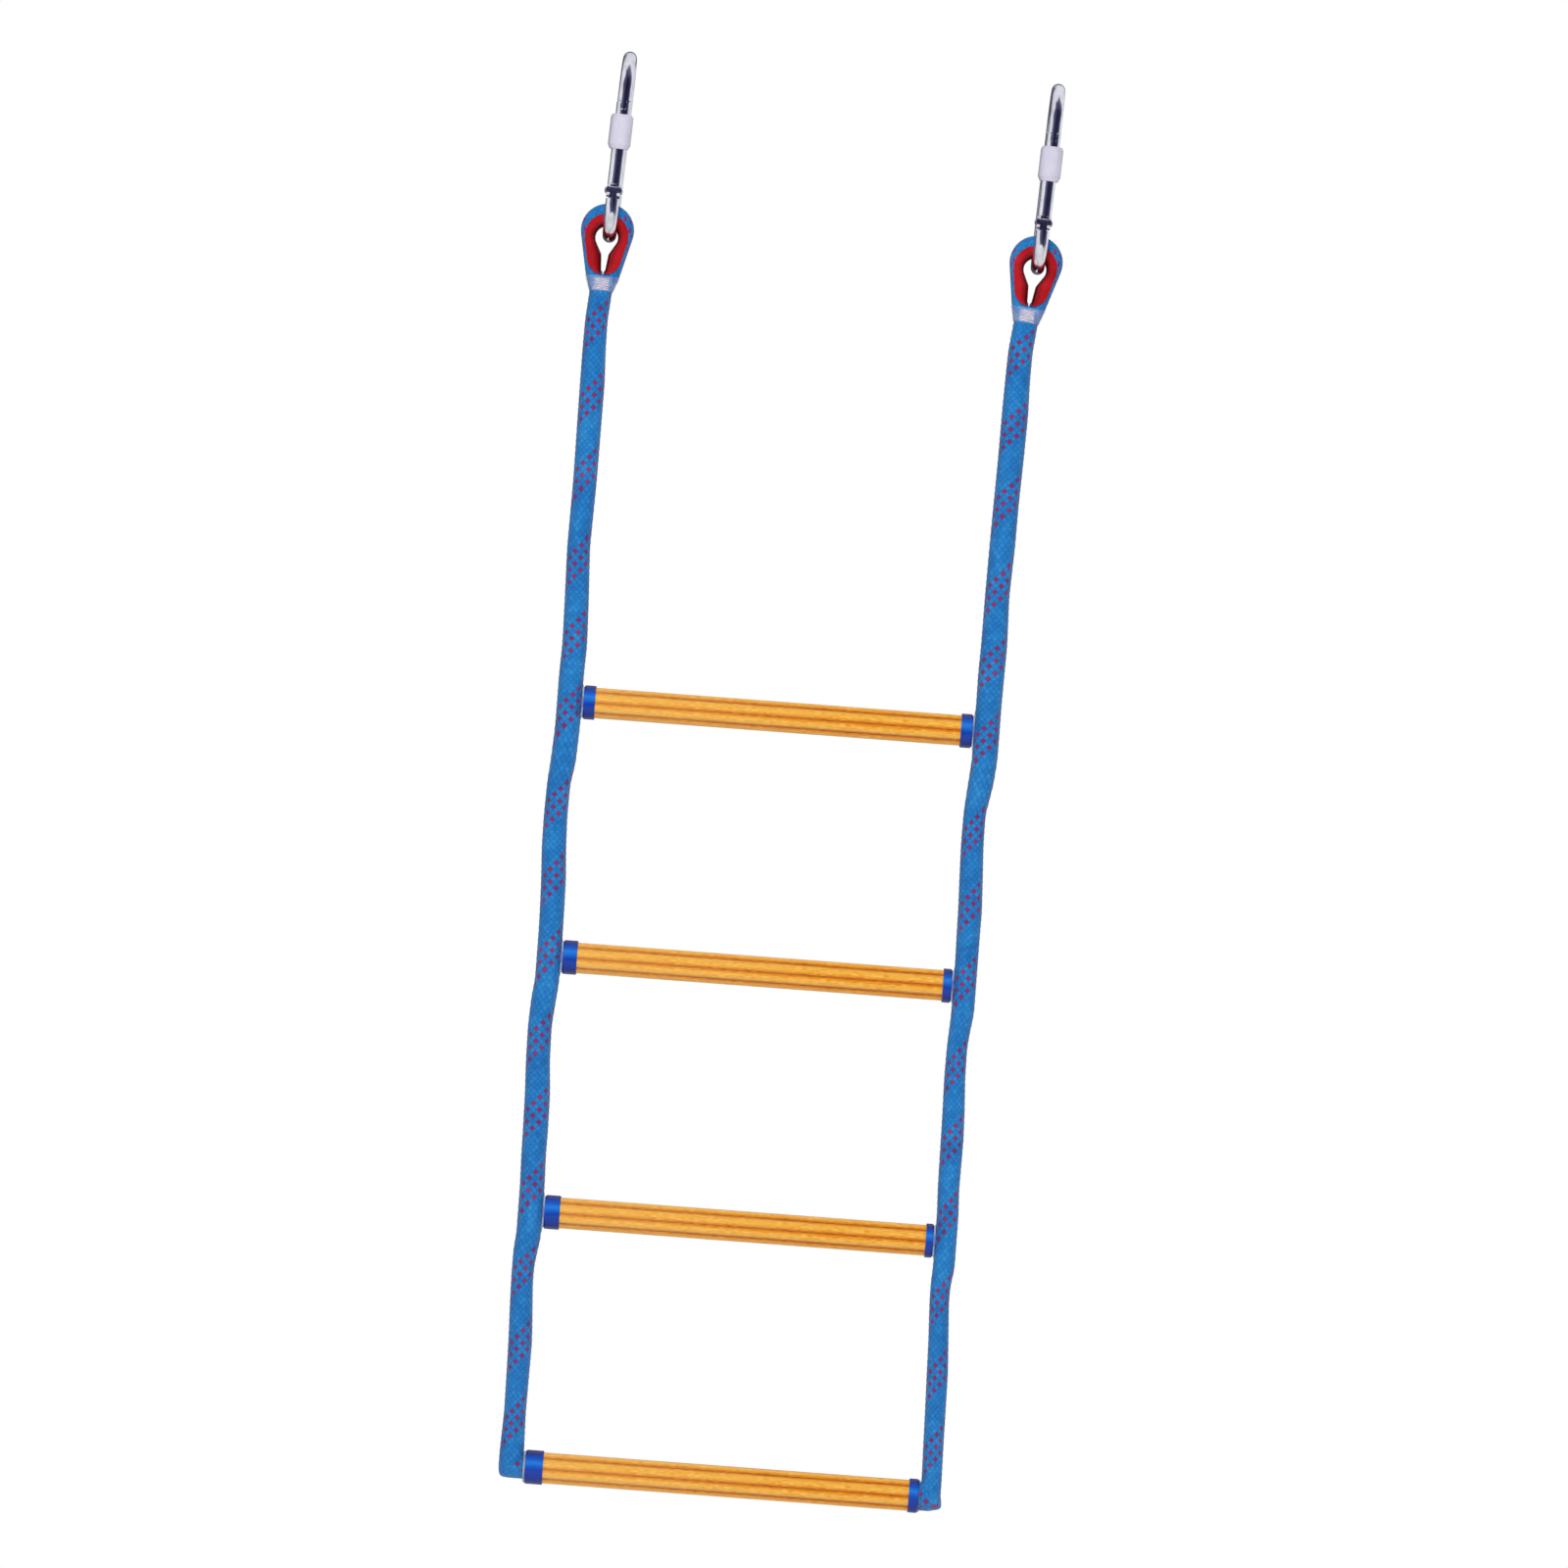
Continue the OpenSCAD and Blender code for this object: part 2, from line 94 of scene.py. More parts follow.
class Tree:
    """A node tree with short calls to build it. Most calls return the new node's output."""

    def __init__(self, tree):
        self.tree = tree

    def add(self, kind, **settings):
        made = self.tree.nodes.new("ShaderNode" + kind)
        for key, value in settings.items():
            setattr(made, key, value)
        return made

    def link(self, source, target):
        self.tree.links.new(source, target)

    def put(self, value, socket):
        """Links a socket, or sets a plain number or colour."""
        if isinstance(value, bpy.types.NodeSocket):
            self.link(value, socket)
        elif isinstance(value, tuple) and len(value) == 3 and len(socket.default_value) == 4:
            socket.default_value = (*value, 1)
        else:
            socket.default_value = value

    def math(self, operation, first, second=0.0, third=0.0):
        made = self.add("Math", operation=operation)
        for value, socket in zip((first, second, third), made.inputs):
            self.put(value, socket)
        return made.outputs[0]

    def vector(self, operation, first, second=(0, 0, 0)):
        made = self.add("VectorMath", operation=operation)
        for value, socket in zip((first, second), made.inputs):
            if isinstance(value, tuple):
                socket.default_value = value
            else:
                self.link(value, socket)
        return made.outputs[0]

    def weighted(self, *terms):
        """The sum of value times weight over pairs of them."""
        total = 0.0
        for value, weight in terms:
            total = self.math("MULTIPLY_ADD", value, weight, total)
        return total

    def split(self, vector):
        """The vector's x, y and z."""
        made = self.add("SeparateXYZ")
        self.link(vector, made.inputs[0])
        return tuple(made.outputs)

    def coordinate(self, output, scale=None):
        source = self.add("TexCoord").outputs[output]
        return self.vector("MULTIPLY", source, scale) if scale else source

    def noise(self, vector, scale=1.0, detail=2.0, rough=0.5, distortion=0.0):
        made = self.add("TexNoise")
        self.link(vector, made.inputs["Vector"])
        made.inputs["Scale"].default_value = scale
        made.inputs["Detail"].default_value = detail
        made.inputs["Roughness"].default_value = rough
        made.inputs["Distortion"].default_value = distortion
        return made.outputs[0]

    def ramp(self, value, *stops):
        made = self.add("ValToRGB")
        set_stops(made.color_ramp, stops)
        self.put(value, made.inputs[0])
        return made.outputs[0]

    def span(self, value, low, high, to_low=0.0, to_high=1.0):
        """The value's place from low to high, as a number from to_low to to_high."""
        made = self.add("MapRange", clamp=True)
        for number, socket in zip((value, low, high, to_low, to_high), made.inputs):
            self.put(number, socket)
        return made.outputs[0]

    def mix(self, factor, first, second, mode="MIX"):
        made = self.add("Mix", data_type="RGBA", blend_type=mode)
        for value, socket in ((factor, MIX_FACTOR), (first, MIX_FIRST), (second, MIX_SECOND)):
            self.put(value, made.inputs[socket])
        return made.outputs[MIX_RESULT]

    def scuffs(self, place, scale, strength):
        return self.math("MULTIPLY", self.span(self.noise(place, scale, 5.0, 0.7, 0.6), 0.66, 0.8), strength)


class Shader(Tree):
    """A new material with a Principled shader."""

    def __init__(self, name):
        self.material = bpy.data.materials.new(name)
        self.material.use_nodes = True
        super().__init__(self.material.node_tree)
        self.bsdf = self.tree.nodes["Principled BSDF"]

    def set(self, **values):
        for key, value in values.items():
            self.put(value, self.bsdf.inputs[key.replace("_", " ")])

    def bump(self, height, strength, distance):
        made = self.add("Bump")
        made.inputs["Strength"].default_value = strength
        made.inputs["Distance"].default_value = distance
        self.link(height, made.inputs["Height"])
        self.link(made.outputs[0], self.bsdf.inputs["Normal"])


def srgb(r, g, b):
    """A colour as seen on a screen, 0 to 255, as the linear colour that the shader takes."""
    return tuple(v / 255 / 12.92 if v <= 10 else ((v / 255 + 0.055) / 1.055) ** 2.4 for v in (r, g, b))


# ---- mesh helpers

def mesh_object(name, points, faces, material, smooth=True):
    """points is an (n, 3) array in metres, faces a list of index tuples."""
    mesh = bpy.data.meshes.new(name)
    mesh.from_pydata([tuple(p) for p in np.asarray(points, float)], [], [tuple(f) for f in faces])
    mesh.validate()
    mesh.update()
    if smooth:
        mesh.polygons.foreach_set("use_smooth", np.ones(len(mesh.polygons), bool))
    if material is not None:
        mesh.materials.append(material)
    made = bpy.data.objects.new(name, mesh)
    bpy.context.scene.collection.objects.link(made)
    return made


def soften(piece, angle):
    """Keeps edges sharper than angle, in degrees, sharp in a smoothly shaded piece."""
    piece.data.set_sharp_from_angle(angle=math.radians(angle))


def loft(rings, caps=True, offset=0):
    """The points and faces between equal closed rings, (n, k, 3). offset is the first point's index."""
    count, size = rings.shape[:2]
    faces = []
    for i in range(count - 1):
        for k in range(size):
            a, b = offset + i * size + k, offset + i * size + (k + 1) % size
            faces.append((a, a + size, b + size, b))
    if caps:
        faces.append(tuple(offset + k for k in range(size)))
        faces.append(tuple(offset + (count - 1) * size + k for k in reversed(range(size))))
    return rings.reshape(-1, 3), faces


def blur(values, width):
    """Smooths an evenly sampled row of numbers with a window of width samples, ends kept."""
    half = max(int(width // 2), 1)
    padded = np.concatenate([np.full(half, values[0]), values, np.full(half, values[-1])])
    window = np.hanning(2 * half + 3)[1:-1]
    return np.convolve(padded, window / window.sum(), mode="valid")


# ---- the ladder's own numbers, in mm

SIDES = {"left": -1, "right": 1}
RUNGS = (1, 2, 3, 4)


def rung_z(n):
    """The height of a rung's axis."""
    low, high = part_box(f"rung_{n}_tube")
    return (low[2] + high[2]) / 2 / MM


RUNG_Z = {n: rung_z(n) for n in RUNGS}
CORNER_X = {"left": -150.6, "right": 153.2}     # the rope's middle above the fourth rung's ends
CORNER_D = {"left": 17.6, "right": 14.4}
CORNER_UP = 10.0       # from the fourth rung's axis up to where the corner starts
ROPE_CLEAR = 142.0     # from the ladder's middle to the ropes' inner sides at rungs 1 to 3
ROPE_SLIP = (0, 1.2, 0, 0.6)     # both ropes' sideways shift at rungs 1 to 3
ROPE_MID = 151.0       # the line that the route points are measured from
SPLIT_UP = 6.0         # from a rung's axis up to where one bay's rope ends and the next starts
HELD = 19.0            # the rope is straight this far above and below a rung
BOTTOM_D = 15.8        # the rope inside the fourth rung
ROPE_D = {"left": (16.2, 17.9, 17.5, 17.8, 17.6),     # at the neck, then at rungs 1 to 4
          "right": (17.4, 18.4, 16.4, 15.6, 14.4)}
EYE_X = {"left": -148.0, "right": 162.0}
EYE_TILT = {"left": math.radians(2), "right": math.radians(5.5)}
EYE_Z = -125.491       # the middle of the thimble's round hole
NECK_LOW, NECK_HIGH = -39.5, -28.0     # the neck's ends, from EYE_Z
NECK_TOP_R, NECK_TOP_DEPTH = 12.0, 8.0     # half its width and depth at its top
NECK_SQUARE = 0.5      # how much squarer than round its outline is there

# The side ropes' route points: outwards from ROPE_MID, down from the bay's top, diameter
BAYS = {
    "left": (
        ((0, 20, 16.2), (0, 42, 16.8), (-0.5, 65, 17.8), (-0.5, 95, 17.5), (-0.5, 137, 17),
         (0.5, 185, 16.5), (-1, 222, 17.4), (-2, 255, 17.9)),
        ((0, 50, 18.1), (2, 65, 16.8), (2.5, 90, 17), (2, 112, 17.6), (0.5, 136, 17.9), (0, 155, 17.6)),
        ((1, 35, 17.9), (2.5, 56, 17.1), (2, 82, 17.3), (0.5, 106, 18.2), (0, 132, 18.1), (0, 150, 17.8)),
        ((0.5, 32, 17.6), (1.5, 45, 16), (1.5, 58, 15.8), (0.5, 80, 16.6), (-0.5, 101, 17.1),
         (-0.5, 125, 16.4), (-0.5, 152, 15.7)),
    ),
    "right": (
        ((5, 20, 17.6), (4.5, 42, 18), (4.5, 65, 19), (4, 95, 18.6), (3, 130, 18.2), (2.5, 161, 18.5),
         (1.5, 197, 17.6), (2, 233, 18.9), (1.5, 255, 19)),
        ((0, 42, 18.2), (-1.5, 53, 17.2), (-3, 65, 15.9), (-3, 88, 16.3), (-2, 112, 16.9),
         (-1, 136, 17.2), (-1, 152, 16.9)),
        ((-2, 37, 15.2), (-3, 50, 14.7), (-3, 72, 15.2), (-2, 96, 16), (-1.5, 116, 16.4),
         (-1.5, 135, 16), (-1.5, 152, 15.5)),
        ((-2, 37, 14.4), (-2, 50, 14), (-0.5, 78, 14.5), (0.5, 101, 15.3), (1, 125, 14.9), (1.5, 152, 14.6)),
    ),
}


def rope_x(side, n):
    """Where a side rope's middle is at rung n."""
    return CORNER_X[side] if n == 4 else SIDES[side] * (ROPE_CLEAR + ROPE_D[side][n] / 2) + ROPE_SLIP[n]


def bay_span(n):
    """The top and low end of a bay's stretch of rope."""
    top = EYE_Z + NECK_LOW if n == 1 else RUNG_Z[n - 1] + SPLIT_UP
    return top, RUNG_Z[n] + (SPLIT_UP if n < 4 else CORNER_UP)


def bay_points(side, n):
    """The bay's route as (x, z, diameter), top to bottom."""
    top, low = bay_span(n)
    neck_x = EYE_X[side] + NECK_LOW * math.sin(EYE_TILT[side])
    points = [(neck_x if n == 1 else rope_x(side, n - 1), top, ROPE_D[side][n - 1])]
    if n > 1:
        points.append((rope_x(side, n - 1), RUNG_Z[n - 1] - HELD, ROPE_D[side][n - 1]))
    points += [(SIDES[side] * (ROPE_MID + x), top - drop, d) for x, drop, d in BAYS[side][n - 1]]
    if n < 4:
        points.append((rope_x(side, n), RUNG_Z[n] + HELD, ROPE_D[side][n]))
    points.append((rope_x(side, n), low, ROPE_D[side][n]))
    return points


# ---- braided rope

STRANDS = 12          # strands that cross a line round the rope, each way
FINE = 4              # mesh steps over one strand, an even number
ROW = 2 * FINE        # rows of the mesh lattice in one strand crossing
AROUND = STRANDS * FINE     # points in a row
PITCH = 53.9          # length in which a strand goes once round
CELL = PITCH / STRANDS
FIRST_ANGLE = 15.0    # where the first strand crosses, in degrees from the rope's outer side
HEIGHT = 0.36         # how far a strand stands proud
FULLNESS = 0.7        # below 1, a strand keeps its height longer towards where it dips under
TRACERS = (0, 2, 4)   # the strands that are woven in red, where they run on top
BRAID_START = {"left": -185.5, "right": -183.5}     # the height of row 0
# Stretches where the braid is drawn out over a buried cord end: middle, extra length
DRAWN = ((-325.5, 10.0), (-499.5, 14.5), (-672.5, 7.7), (-840.5, 7.0))
DRAWN_OVER = 42.0


class Skin:
    """Collects braided tubes into one mesh. Each face has strand coordinates, and is red (1) or blue (0)."""

    def __init__(self):
        self.points, self.faces, self.uvs, self.tones = [], [], [], []
        self.count = 0

    def add(self, first_row, centre, n1, n2, r1, r2, power=2.0, bend=None):
        """One tube with a row of points for each lattice row, and flat caps on its ends.

        centre and the directions n1, n2 are (rows, 3). The radii r1, r2 and power, 2 for round and more for
        square, are numbers or one for each row. bend changes the distances along n1.
        """
        rows = len(centre)
        row = first_row + np.arange(rows)
        u = (row[:, None] % 2 + 2 * np.arange(AROUND)[None, :]) / ROW
        v = np.repeat(row[:, None] / ROW, AROUND, axis=1)
        a, b = u - v, u + v
        i, j = np.rint(a), np.rint(b)
        on_top = (i + j) % 2 == 0
        across = np.where(on_top, a - i, b - j)
        along = np.where(on_top, b - j, a - i)
        lift = (np.sqrt(np.clip(np.cos(np.pi * across), 0, 1))
                * np.clip(np.cos(np.pi * along), 0, 1) ** FULLNESS)
        rise = HEIGHT * (lift - 0.5)
        phi = np.radians(FIRST_ANGLE + 360 / STRANDS * u)
        cos, sin = np.cos(phi), np.sin(phi)
        p = np.broadcast_to(np.asarray(power, float), (rows,))[:, None]
        q1 = np.asarray(r1, float).reshape(-1, 1) * np.sign(cos) * np.abs(cos) ** (2 / p) + rise * cos
        q2 = np.asarray(r2, float).reshape(-1, 1) * np.sign(sin) * np.abs(sin) ** (2 / p) + rise * sin
        if bend is not None:
            q1 = bend(q1)
        xyz = centre[:, None, :] + q1[:, :, None] * n1[:, None, :] + q2[:, :, None] * n2[:, None, :]
        index = self.count + np.arange(rows * AROUND).reshape(rows, AROUND)
        self.points.append(xyz.reshape(-1, 3))
        self.count += rows * AROUND
        # one quad round each gap in a row, between its two points and the points above and below the gap
        for k in range(1, rows - 1):
            left, right_, beside = self.gap(row[k], index[k])
            self.face_row(row[k], (left, 0, 0), (index[k + 1][beside], 1, 1), (right_, 2, 0),
                          (index[k - 1][beside], 1, -1))
        # the zigzag left at both ends is closed with triangles, then the cap
        left, right_, beside = self.gap(row[0], index[0])
        self.face_row(row[0], (left, 0, 0), (index[1][beside], 1, 1), (right_, 2, 0))
        self.cap(xyz[0], centre[0], 1)
        left, right_, beside = self.gap(row[-1], index[-1])
        self.face_row(row[-1], (left, 0, 0), (right_, 2, 0), (index[-2][beside], 1, -1))
        self.cap(xyz[-1], centre[-1], -1)

    @staticmethod
    def gap(row, index):
        """The points left and right of each gap in a row, and the places beside the gaps in the next rows."""
        return index, np.roll(index, -1), (np.arange(AROUND) + row % 2) % AROUND

    def face_row(self, row, *corners):
        """A row of faces. Each corner is its points, and its steps right of and rows below the left one."""
        w = row % 2 + 2 * np.arange(AROUND)
        u = np.stack([w + right_ for _, right_, _ in corners], axis=1) / ROW
        v = np.stack([np.full(AROUND, row + down) for _, _, down in corners], axis=1) / ROW
        i, j = np.rint((w + 1 - row) / ROW), np.rint((w + 1 + row) / ROW)
        on_top = (i + j) % 2 == 0
        one, other = np.stack([u - v, u + v], axis=2), np.stack([u + v, u - v], axis=2)
        self.faces += [tuple(face) for face in np.stack([points for points, _, _ in corners], axis=1)]
        self.uvs += list(np.where(on_top[:, None, None], one, other).reshape(-1, 2))
        self.tones += list((on_top & np.isin(i % STRANDS, TRACERS)).astype(int))

    def cap(self, rim, middle, turn):
        """A flat fan on points of its own. turn is 1 or -1, for the way it faces."""
        self.points += [rim, middle[None, :]]
        hub = self.count + AROUND
        for k in range(AROUND):
            pair = (self.count + k, self.count + (k + 1) % AROUND)
            self.faces.append((hub, *pair[::turn]))
            self.uvs += [(0.1, 0.1)] * 3
            self.tones.append(0)
        self.count += AROUND + 1

    def make(self, name, materials):
        piece = mesh_object(name, np.concatenate(self.points) * MM, self.faces, None)
        mesh = piece.data
        for material in materials:
            mesh.materials.append(material)
        mesh.polygons.foreach_set("material_index", np.array(self.tones, np.int32))
        layer = mesh.uv_layers.new(name="strand")
        layer.data.foreach_set("uv", np.array(self.uvs, np.float32).ravel())
        return piece


def drawn_out(z):
    """Extra length taken by the drawn-out stretches above each height z."""
    total = np.zeros_like(z)
    for middle, extra in DRAWN:
        total += extra * np.clip((middle - z) / DRAWN_OVER + 0.5, 0, 1)
    return total


def braid_turn(side, z):
    """The braid's coordinate v down the rope at each height z of a side rope."""
    return (BRAID_START[side] - z - drawn_out(z)) / CELL


START_DOWN = 14.0     # the centreline starts this far below the thimble's hole, inside the eye
CENTRE_BLUR, WIDTH_BLUR = 18, 12     # mm over which the route's corners and steps in width are rounded


class Side:
    """A side rope's smooth centreline from above the neck to its bottom corner, sampled every millimetre."""

    def __init__(self, side):
        self.side = side
        points = [(EYE_X[side] - START_DOWN * math.sin(EYE_TILT[side]), EYE_Z - START_DOWN, ROPE_D[side][0])]
        for n in RUNGS:
            points += bay_points(side, n)
        points = np.array(points)
        _, first = np.unique(-points[:, 1], return_index=True)
        points = points[first]
        self.z = np.arange(points[0, 1], points[-1, 1] - 0.5, -1.0)
        self.z[-1] = points[-1, 1]
        self.x = blur(np.interp(-self.z, -points[:, 1], points[:, 0]), CENTRE_BLUR)
        self.d = blur(np.interp(-self.z, -points[:, 1], points[:, 2]), WIDTH_BLUR)

    def at(self, z):
        """Centre, sideways normal and diameter at heights z."""
        z = np.asarray(z, float)
        x = np.interp(-z, -self.z, self.x)
        slope = (np.interp(-(z - 1), -self.z, self.x) - np.interp(-(z + 1), -self.z, self.x)) / 2
        tangent = np.stack([slope, np.zeros_like(z), -np.ones_like(z)], axis=1)
        tangent /= np.linalg.norm(tangent, axis=1)[:, None]
        n1 = np.stack([-tangent[:, 2], np.zeros_like(z), tangent[:, 0]], axis=1)
        centre = np.stack([x, np.zeros_like(z), z], axis=1)
        return centre, n1, np.interp(-z, -self.z, self.d)

    def rows(self, top, low):
        """The first lattice row from top to low, and the rows' heights. The end rows sit on the ends."""
        z = np.linspace(top, low, 400)
        v = braid_turn(self.side, z)
        first, last = round(v[0] * ROW), round(v[-1] * ROW)
        at_top, at_low = first / ROW - v[0], last / ROW - v[-1]
        v = v + at_top + (at_low - at_top) * (z - top) / (low - top)
        return first, np.interp(np.arange(first, last + 1) / ROW, v, z)


FRONT = np.array([0.0, -1.0, 0.0])
ropes = {side: Side(side) for side in SIDES}


def rope_bay(side, n, materials):
    """One bay's free stretch of side rope."""
    top, low = bay_span(n)
    rope = ropes[side]
    first, z = rope.rows(top, low)
    centre, n1, d = rope.at(z)
    skin = Skin()
    skin.add(first, centre, n1, np.tile(FRONT, (len(z), 1)), d / 2, d / 2)
    piece = skin.make(f"{side}_rope_{n}_braid", materials)
    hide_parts(f"{side}_rope_{n}")
    return piece


# ---- rope materials

def rope_material(name, base, dark, light):
    """Braided polyester yarn. The strand map gives U across a strand and V along it."""
    s = Shader(name)
    uv = s.add("UVMap", uv_map="strand").outputs[0]
    u, v, _ = s.split(uv)
    across = s.math("SUBTRACT", u, s.math("ROUND", u))
    along = s.math("SUBTRACT", v, s.math("ROUND", v))
    edge = s.math("MAXIMUM", s.math("ABSOLUTE", across), s.math("ABSOLUTE", along))
    fibre = s.noise(s.vector("MULTIPLY", uv, (11.0, 1.1, 1.0)), 1.0, 2.0, 0.6, 0.3)
    strand = s.add("TexWhiteNoise", noise_dimensions="2D")
    s.link(s.vector("FLOOR", s.vector("ADD", uv, (0.5, 0.5, 0.0))), strand.inputs[0])
    mottle = s.noise(s.coordinate("Object"), 55.0, 3.0, 0.6)
    tone = s.weighted((fibre, 0.55), (strand.outputs[0], 0.14), (mottle, 0.4))
    body = s.ramp(tone, (0.28, dark), (0.58, base), (0.9, light))
    # painted shade: the colour darkens towards each strand's border, where the strands dip under each other
    shade = s.span(edge, 0.26, 0.5, 1.0, 0.72)
    colour = s.mix(1.0, body, s.ramp(shade, (0.0, 0.0), (1.0, 1.0)), "MULTIPLY")
    s.set(Base_Color=colour, Roughness=s.span(fibre, 0.2, 0.8, 0.48, 0.68), Specular_IOR_Level=0.35)
    s.set(Sheen_Weight=0.12, Sheen_Roughness=0.5)
    s.bump(fibre, 0.45, 0.00025)
    return s.material


blue_yarn = rope_material("blue_yarn", srgb(32, 126, 198), srgb(16, 84, 156), srgb(66, 164, 218))
red_yarn = rope_material("red_tracer_yarn", srgb(132, 48, 106), srgb(92, 28, 86), srgb(166, 84, 134))
yarns = (blue_yarn, red_yarn)

bays = {(side, n): rope_bay(side, n, yarns) for side in SIDES for n in RUNGS}


# ---- the rope's corners and its run through rung 4

BEND_R = 1.5          # the centreline's bend at each corner
BEND_COUNTED = 5.0    # the radius whose arc sets how many strands fill the bend
BEND_GAP = 0.1        # left between the bend's inside and its axis
SQUARE = {"left": 5, "right": 9}       # how square the outside of each corner is, 2 being round
HIDDEN_STRETCH = 3.0  # the lattice is this much longer inside the tube, out of sight
LOW_R = {"left": 8.8, "right": 10.2}   # from the fourth rung's axis down to the corner's underside
SHOWN = 16.0          # length of the level run drawn with full-size strands
NARROWING = (1.2, 4.0)     # outside the cap's mouth, where the rope starts to narrow, and over what length


def corner_half(skin, side):
    """One bottom corner and the level run behind it, up to the ladder's middle."""
    sign = SIDES[side]
    corner_r, low_r = CORNER_D[side] / 2, LOW_R[side]
    bend_x, bend_z = abs(CORNER_X[side]) - BEND_R, RUNG_Z[4] + BEND_R
    start_z = RUNG_Z[4] + CORNER_UP
    first = round(braid_turn(side, np.array([start_z]))[0] * ROW)
    step = CELL / ROW
    down = max(round((start_z - bend_z) / step), 2)
    turn = round(BEND_COUNTED * math.pi / 2 / step)
    shown = round(SHOWN / step)
    hidden = round((bend_x - SHOWN) / (step * HIDDEN_STRETCH))
    cap_low, cap_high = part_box(f"rung_4_{side}_cap")
    mouth = max(cap_high[0], -cap_low[0]) / MM
    rows = []     # centre, n1, angle turned, radius
    for k in range(down):
        rows.append(((CORNER_X[side], 0, start_z + (bend_z - start_z) * k / down), (1, 0, 0), 0.0, corner_r))
    for k in range(turn + 1):
        angle = math.pi / 2 * k / turn
        cos, sin = math.cos(angle), math.sin(angle)
        rows.append(((sign * (bend_x + BEND_R * cos), 0, bend_z - BEND_R * sin), (cos, 0, -sign * sin), angle,
                     corner_r + (low_r - corner_r) * k / turn))
    for k in range(1, shown + hidden + 1):
        x = bend_x - SHOWN * k / shown if k <= shown else (bend_x - SHOWN) * (1 - (k - shown) / hidden)
        inside = min(max((mouth + NARROWING[0] - x) / NARROWING[1], 0.0), 1.0)
        rows.append(((sign * x, 0, RUNG_Z[4]), (0, 0, -sign), 0.0, low_r + (BOTTOM_D / 2 - low_r) * inside))
    centre, n1, turned, radius = (np.array(column, float) for column in zip(*rows))
    limit = np.full((len(rows), 1), np.inf)
    limit[down:down + turn + 1] = BEND_R - BEND_GAP
    power = SQUARE[side]
    square = ((np.cos(turned) ** power + np.sin(turned) ** power) ** (-1 / power))[:, None]

    def bend(q1):
        """Makes the outside of the bend a square corner, and stops its inside short of the bend's axis."""
        outward = sign * q1
        return sign * np.where(outward > 0, outward * square, np.maximum(outward, -limit))

    skin.add(first, centre, n1, np.tile(FRONT, (len(rows), 1)), radius, radius, bend=bend)


corners = Skin()
for side in SIDES:
    corner_half(corners, side)
bottom = corners.make("bottom_rope_braid", yarns)
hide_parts("bottom_rope")


# ---- rope eye and neck

# Each egg outline is round a large circle at the top and a small one below: their radii and their heights
EYE_R, EYE_C = (19.2, 10.2), (5.4, -36.0)
CORE_R, CORE_C = (11.0, 3.4), (0.8, -20.0)
FLANGE_R, FLANGE_C = (15.8, 12.5), (1.2, -14.9)
HOLE_R = 8.2
EYE_DEPTH = 7.3        # half the rope's depth, front to back, in the thimble's groove
EYE_SQUARE = 2.6
LEG_STEPS, ARC_STEPS = 31, 61     # points along an outline's leg and over its top
LEG_FOOT = -32.5
MIRROR = np.array([-1, 1])


def to_ladder(side, points):
    """Eye frame to ladder frame, in mm: tilt about Y, then out to the eye's place."""
    c, s = math.cos(EYE_TILT[side]), math.sin(EYE_TILT[side])
    p = np.asarray(points, float)
    x, z = p[..., 0] * c + p[..., 2] * s, -p[..., 0] * s + p[..., 2] * c
    return np.stack([x + EYE_X[side], p[..., 1], z + EYE_Z], axis=-1)


def turn_to_ladder(side, directions):
    """Eye frame to ladder frame, for directions."""
    c, s = math.cos(EYE_TILT[side]), math.sin(EYE_TILT[side])
    p = np.asarray(directions, float)
    return np.stack([p[..., 0] * c + p[..., 2] * s, p[..., 1], -p[..., 0] * s + p[..., 2] * c], axis=-1)


def egg_lean(r, c):
    """The angle that an egg outline's straight sides lean by, which is where its circles' arcs end."""
    return math.asin((r[0] - r[1]) / (c[0] - c[1]))


def arc_points(centre_z, radius, start, end, count):
    """Points on a circle in the XZ plane, angles in radians from +X towards +Z."""
    angle = np.linspace(start, end, count)
    return np.stack([radius * np.cos(angle), centre_z + radius * np.sin(angle)], axis=1)


def even(points, count):
    """The same polyline with count evenly spaced points."""
    points = np.asarray(points, float)
    step = np.linalg.norm(np.diff(points, axis=0), axis=1)
    at = np.concatenate([[0], np.cumsum(step)])
    want = np.linspace(0, at[-1], count)
    return np.stack([np.interp(want, at, points[:, k]) for k in range(points.shape[1])], axis=1)


def eye_outlines():
    """Matching inner and outer points of the rope eye, from the left leg's foot over the top to the right."""
    lean_o, lean_i = egg_lean(EYE_R, EYE_C), egg_lean(CORE_R, CORE_C)
    arc_o = arc_points(EYE_C[0], EYE_R[0], math.pi + lean_o, -lean_o, ARC_STEPS)
    arc_i = arc_points(CORE_C[0], CORE_R[0] + 0.2, math.pi + lean_i, -lean_i, ARC_STEPS)
    leg_o = even([(-10.3, LEG_FOOT), (-12.1, -28.0), arc_o[0]], LEG_STEPS)
    core_side = (-CORE_R[1] * math.cos(lean_i), CORE_C[1] - 1.2)
    leg_i = even([(-0.2, LEG_FOOT), (-0.2, -25.0), core_side, arc_i[0]], LEG_STEPS)
    outer = np.concatenate([leg_o[:-1], arc_o, leg_o[-2::-1] * MIRROR])
    inner = np.concatenate([leg_i[:-1], arc_i, leg_i[-2::-1] * MIRROR])
    return inner, outer


def neck_shape(side, local_z):
    """Half the neck's width and depth, and its outline's power, at heights from EYE_Z. Its low end is round."""
    rise = np.clip((local_z - NECK_LOW) / (NECK_HIGH - NECK_LOW), 0, 1)
    low_r = ROPE_D[side][0] / 2
    return low_r + (NECK_TOP_R - low_r) * rise, low_r + (NECK_TOP_DEPTH - low_r) * rise, 2 + NECK_SQUARE * rise


